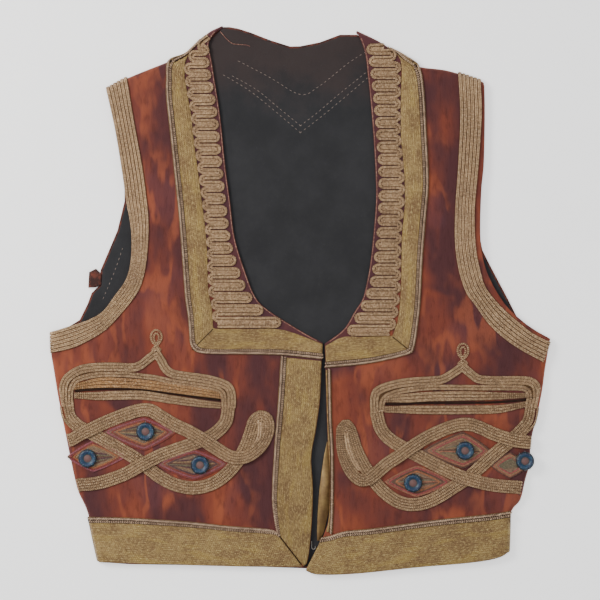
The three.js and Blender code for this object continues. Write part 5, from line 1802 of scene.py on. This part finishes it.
class VEST_OT_pockets(bpy.types.Operator):
    """Makes the pockets: frames, loop, welts and a dark strip of painted shade in the slit between them"""

    bl_idname = "vest.pockets"
    bl_label = "Pockets"

    def execute(self, context):
        for side, table in POCKETS.items():
            front = FRONTS[side]
            for part, band, rows in (("outer", FRAME_BAND, 3), ("inner", INNER_FRAME_BAND, 2)):
                frame_line = along(table[f"frame_{part}"], band + FRAME_GAP)
                stations = lengthened(frame_line, FRAME_JOIN, FRAME_JOIN)
                name = f"frame_{part}_{side}"
                braided_band(f"braid_{name}", f"pocket_{name}", front, stations, rows)
            count = len(stations["a"])
            # Where the two frames part at a corner, the dark ground fills the gap, partly as painted shade.
            for end, (low, high) in FRAME_CORNERS.items():
                corner = {key: value[int(low * count):int(high * count)] for key, value in stations.items()}
                ground = strip(f"frame_ground_{end}_{side}", front, part_of(corner, -CORNER_REACH, 1, 0),
                               CORNER_SECTION, ROOM.finish("ground"))
                settle(ground, [])
            for part in ("upper", "lower"):
                welt = welt_stations(table["welts"][part])
                finish = "welt" if (part, side) == ("upper", "left") else "braid"
                name = f"welt_{part}_{side}"
                braided_band(f"braid_{name}", f"pocket_{name}", front, welt, 3, finish)
            paths = loop_paths(front, table["loop"])
            loop = stitched(f"braid_loop_{side}", paths, "fine_braid", LOOP_PITCH, "braid")
            settle(loop, [f"pocket_loop_{side}"])
            line = slit_stations(table["welts"])
            # Painted shade: a dark strip in the slit between the welts.
            slit_shade = strip(f"slit_{side}", front, line, SLIT_SECTION, ROOM.finish("mark"))
            settle(slit_shade, [])
        return {"FINISHED"}


def slit_stations(welts):
    """Stations of the slit's dark strip of painted shade, half way between the middles of the two welts."""
    lower = np.array(welts["lower"], float)
    rows = []
    for x, y, _ in welts["upper"]:
        below = float(np.interp(x, lower[:, 0], lower[:, 1]))
        rows.append([x, (y + below) / 2 + SLIT_RISE, SLIT_WIDTH])
    return welt_stations(rows)


class VEST_OT_knots(bpy.types.Operator):
    """Makes the three braid bands that cross and loop under each pocket"""

    bl_idname = "vest.knots"
    bl_label = "Knotwork"

    def execute(self, context):
        for side, table in POCKETS.items():
            front = FRONTS[side]
            main = along(table["main"], BAND, CLUB_BAND[side])
            cross = lift_over(end_at_side(front, along(table["cross"], BAND)), [main["centre"]])
            wave = lift_over(end_at_side(front, along(table["wave"], BAND, CLUB_BAND[side])),
                             [main["centre"][:-CLUB_STATIONS], cross["centre"]])
            infill = along([table["club_row"]], CLUB_ROW)
            braided_band(f"braid_club_{side}", None, front, infill, 1)
            for part, stations in (("main", main), ("cross", cross), ("wave", wave)):
                stations = to_side(front, stations)
                if part != "wave":
                    stations = lengthened(stations, start=KNOT_JOIN)
                if part != "cross":
                    stations = lengthened(stations, end=CLUB_JOIN)
                braided_band(f"braid_knot_{part}_{side}", f"knot_band_{part}_{side}", front, stations, 5,
                             margin=EDGE_MARGIN)
        return {"FINISHED"}


def eye_outline(eye, scale, count=72):
    """The outline of an embroidered eye at a scale, with four tips."""
    x, y, left, right, top, bottom = eye[:6]
    tips = np.array([(right, 0), (0, top), (-left, 0), (0, -bottom), (right, 0)], float) * EYE_SPREAD
    share = np.linspace(0, 4, count, endpoint=False)
    part = share.astype(int)
    inside = (share - part)[:, None]
    places = tips[part] * (1 - inside) + tips[part + 1] * inside
    return np.array([x, y]) + places * (1 + EYE_ROUND * inside * (1 - inside)) * scale


def eye_fan(eye):
    """Threads that fan out from the button of an eye towards its left and right tips."""
    x, y, left, right, _, _, button_x, button_y = eye
    fan = []
    for way, reach in ((-1, left), (1, right)):
        for share in np.linspace(-1, 1, EYE_FAN):
            start = np.array([button_x + way * EYE_FAN_START[0], button_y + share * EYE_FAN_START[1]])
            far, narrowing, rise = EYE_FAN_END
            end = np.array([x + way * reach * (far - narrowing * abs(share)), y + share * rise])
            if way * (end[0] - start[0]) > EYE_FAN_SHORTEST:
                fan.append(start + (end - start) * np.linspace(0, 1, 8)[:, None])
    return fan


class VEST_OT_eyes(bpy.types.Operator):
    """Makes the embroidered eyes: rings of thread one inside another, and a fan of threads in the middle"""

    bl_idname = "vest.eyes"
    bl_label = "Embroidered Eyes"

    def execute(self, context):
        for name, eye in EYES.items():
            front = side_of(name)
            dyes = EYE_DYES[name]
            paths = []
            for number, dye in enumerate(dyes[:EYE_RINGS]):
                ring = eye_outline(eye, EYE_OUTER_RING - EYE_RING_PITCH * number)
                points, up = front.face(ring, SEAM + EYE_RING_RISE)
                paths.append({"points": points, "up": up, "closed": True, "dye": dye})
            for number, places in enumerate(eye_fan(eye)):
                points, up = front.face(places, SEAM + EYE_FAN_RISE)
                paths.append({"points": points, "up": up, "dye": dyes[-1 - number % (len(dyes) - EYE_RINGS)]})
            outer, middle = eye_outline(eye, 1.0), np.array(eye[:2])
            rings = np.stack([middle + (outer - middle) * share for share in EYE_GROUND_SHARES])
            tops, _ = front.face(rings, SEAM + np.array(EYE_GROUND_HEIGHTS)[:, None])
            low, _ = front.face(rings[-1], SEAM)
            points, faces = swept(np.concatenate([low[None], tops]))
            ground = mesh_piece(f"{name}.ground", points, faces, [ROOM.finish("eye_ground")])
            thread = stitched(f"{name}.thread", paths, "satin", 0.85, "dyed", 1.0, 0.3, 9)
            settle(joined(f"embroidery_{name}", [ground, thread]), [f"eye_pad_{name}"])
        return {"FINISHED"}


class VEST_OT_rings(bpy.types.Operator):
    """Makes the six ring buttons and the thread that holds them"""

    bl_idname = "vest.rings"
    bl_label = "Ring Buttons"

    def execute(self, context):
        for name, eye in EYES.items():
            low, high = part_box(f"ring_button_{name}")
            x, y, base = eye[6], eye[7], low[2] / MM
            angles = np.linspace(0, 2 * math.pi, RING_SEGMENTS, endpoint=False)
            rings = [[(x + radius * math.cos(angle), y + radius * math.sin(angle), base + height)
                      for angle in angles] for radius, height in RING_PROFILE]
            points, faces = swept(np.array(rings))
            ring = mesh_piece(f"ring_{name}", points, faces, [ROOM.finish("ring")])
            reach = ring.data.attributes.new("reach", "FLOAT", "POINT")
            distance = np.linalg.norm(np.array(points)[:, :2] - [x, y], axis=1) / RING_PROFILE[1][0]
            reach.data.foreach_set("value", distance.astype(np.float32))
            stops = []
            for step in range(RING_STITCHES):
                angle = 2 * math.pi * (step + 0.5) / RING_STITCHES
                direction = np.array([math.cos(angle), math.sin(angle)])
                count = len(RING_STITCH_HEIGHTS)
                places = np.array([x, y]) + direction * np.linspace(*RING_STITCH_SPAN, count)[:, None]
                heights = base + np.array(RING_STITCH_HEIGHTS)
                up = np.column_stack([np.tile(direction, (count, 1)) * 0.7, np.full(count, 0.7)])
                stops.append({"points": np.column_stack([places, heights]), "up": up, "dye": RING_THREAD})
            thread = stitched(f"{name}.stops", stops, "dash", 1.2, "dyed", 1.0, 0.3, 3)
            settle(joined(f"ring_button_{name}_glossy", [ring, thread]), [f"ring_button_{name}"])
        return {"FINISHED"}


def tube(name, path, radius, finish, around=8):
    """A closed round wire along a path of points in millimetres."""
    path = np.array(path, float)
    runs = unit(np.gradient(path, axis=0))
    side = unit(np.cross(runs, [0, 0, 1.0]))
    lift = np.cross(side, runs)
    angles = np.linspace(0, 2 * math.pi, around, endpoint=False)
    rings = path[:, None] + radius * (side[:, None] * np.cos(angles)[None, :, None]
                                      + lift[:, None] * np.sin(angles)[None, :, None])
    points, faces = swept(rings)
    return mesh_piece(name, points, faces, [ROOM.finish(finish)])


class VEST_OT_details(bpy.types.Operator):
    """Makes the armhole tab, the hook at the foot of the opening and the loose thread at the neck"""

    bl_idname = "vest.details"
    bl_label = "Small Details"

    def execute(self, context):
        tab = flat_cloth("velvet_tab", TAB_OUTLINE, 0, TAB_THICKNESS, "facing", TAB_ROUND, 0.3)
        settle(tab, ["armhole_tab"])
        hook_line = smooth_curve(HOOK_LINE, 40)
        heights = np.full(len(hook_line), FRONT_BASE + HOOK_RADIUS)
        hook = tube("hook_wire", np.column_stack([hook_line, heights]), HOOK_RADIUS, "steel")
        settle(hook, ["front_hook"])
        strand = smooth_curve(LOOSE_THREAD, 60)
        heights = LINING_BASE + LINING + 0.7 + 0.4 * np.sin(np.linspace(0, 5, len(strand)))
        settle(tube("loose_thread", np.column_stack([strand, heights]), THREAD_RADIUS, "cord"), [])
        return {"FINISHED"}


class VEST_OT_stage(bpy.types.Operator):
    """Sets the pale floor, soft lights and the camera that looks straight down"""

    bl_idname = "vest.stage"
    bl_label = "Stage"

    def execute(self, context):
        stage = context.scene.vest_stage
        if stage.distance <= CLOTH_HEIGHT:
            raise RuntimeError("stage: the camera is not above the cloth")
        mesh = bpy.data.meshes.new("floor")
        corners = [(FLOOR_REACH * x, FLOOR_REACH * y, 0) for x, y in ((-1, -1), (1, -1), (1, 1), (-1, 1))]
        mesh.from_pydata(corners, [], [(0, 1, 2, 3)])
        mesh.materials.append(ROOM.finish("floor"))
        placed("floor", mesh)
        for name, place, size, power, colour in (
            ("key", (-1.15, 0.55, 1.0), 0.6, stage.key, (1.0, 0.98, 0.95)),
            ("fill", (1.5, -0.6, 1.6), 1.4, stage.key * 0.3, (0.94, 0.97, 1.0)),
            ("top", (-0.2, 0.2, 2.2), 1.6, stage.key * 0.5, (1.0, 1.0, 1.0)),
        ):
            light = bpy.data.lights.new(name, "AREA")
            light.energy = power
            light.size = size
            light.color = colour
            lamp = placed(name, light)
            lamp.location = place
            lamp.rotation_euler = (-Vector(place)).to_track_quat("-Z", "Y").to_euler()
        world = bpy.data.worlds.new("Studio")
        world.use_nodes = True
        world.node_tree.nodes["Background"].inputs["Color"].default_value = (1, 1, 1, 1)
        world.node_tree.nodes["Background"].inputs["Strength"].default_value = 0.5
        context.scene.world = world
        lens = bpy.data.cameras.new("camera")
        lens.sensor_width = 36
        lens.lens = lens.sensor_width * (stage.distance - CLOTH_HEIGHT) / FRAME_WIDTH
        lens.clip_end = 20
        camera = placed("camera", lens)
        camera.location = (0, 0, stage.distance)
        context.scene.camera = camera
        return {"FINISHED"}


class VEST_PT_panel(bpy.types.Panel):
    """Lists the vest's pieces in the sidebar"""

    bl_label = "Folk Vest"
    bl_idname = "VEST_PT_panel"
    bl_space_type = "VIEW_3D"
    bl_region_type = "UI"
    bl_category = "Vest"

    def draw(self, context):
        for group in SETTINGS:
            settings = getattr(context.scene, group)
            box = self.layout.box()
            for name in settings.bl_rna.properties.keys():
                if name not in ("rna_type", "name"):
                    box.prop(settings, name)
        for operator in OPERATORS:
            self.layout.operator(operator.bl_idname)


OPERATORS = (
    VEST_OT_back, VEST_OT_fronts, VEST_OT_tapes, VEST_OT_armholes, VEST_OT_combs, VEST_OT_pockets,
    VEST_OT_knots, VEST_OT_eyes, VEST_OT_rings, VEST_OT_details, VEST_OT_stage,
)
SETTINGS = {
    "vest_cloth": VestCloth, "vest_tape": VestTape, "vest_braid": VestBraid, "vest_buttons": VestButtons,
    "vest_stage": VestStage,
}


def register():
    """Adds the settings, operators and panel."""
    for name, group in SETTINGS.items():
        bpy.utils.register_class(group)
        setattr(bpy.types.Scene, name, PointerProperty(type=group))
    for item in (*OPERATORS, VEST_PT_panel):
        bpy.utils.register_class(item)


def unregister():
    """Takes them away again."""
    for item in (VEST_PT_panel, *reversed(OPERATORS)):
        bpy.utils.unregister_class(item)
    for name, group in SETTINGS.items():
        delattr(bpy.types.Scene, name)
        bpy.utils.unregister_class(group)


def main():
    """Makes the whole vest."""
    register()
    for operator in OPERATORS:
        group, name = operator.bl_idname.split(".")
        getattr(getattr(bpy.ops, group), name)()
    ROOM.clear()
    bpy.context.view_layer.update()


if __name__ == "__main__":
    main()
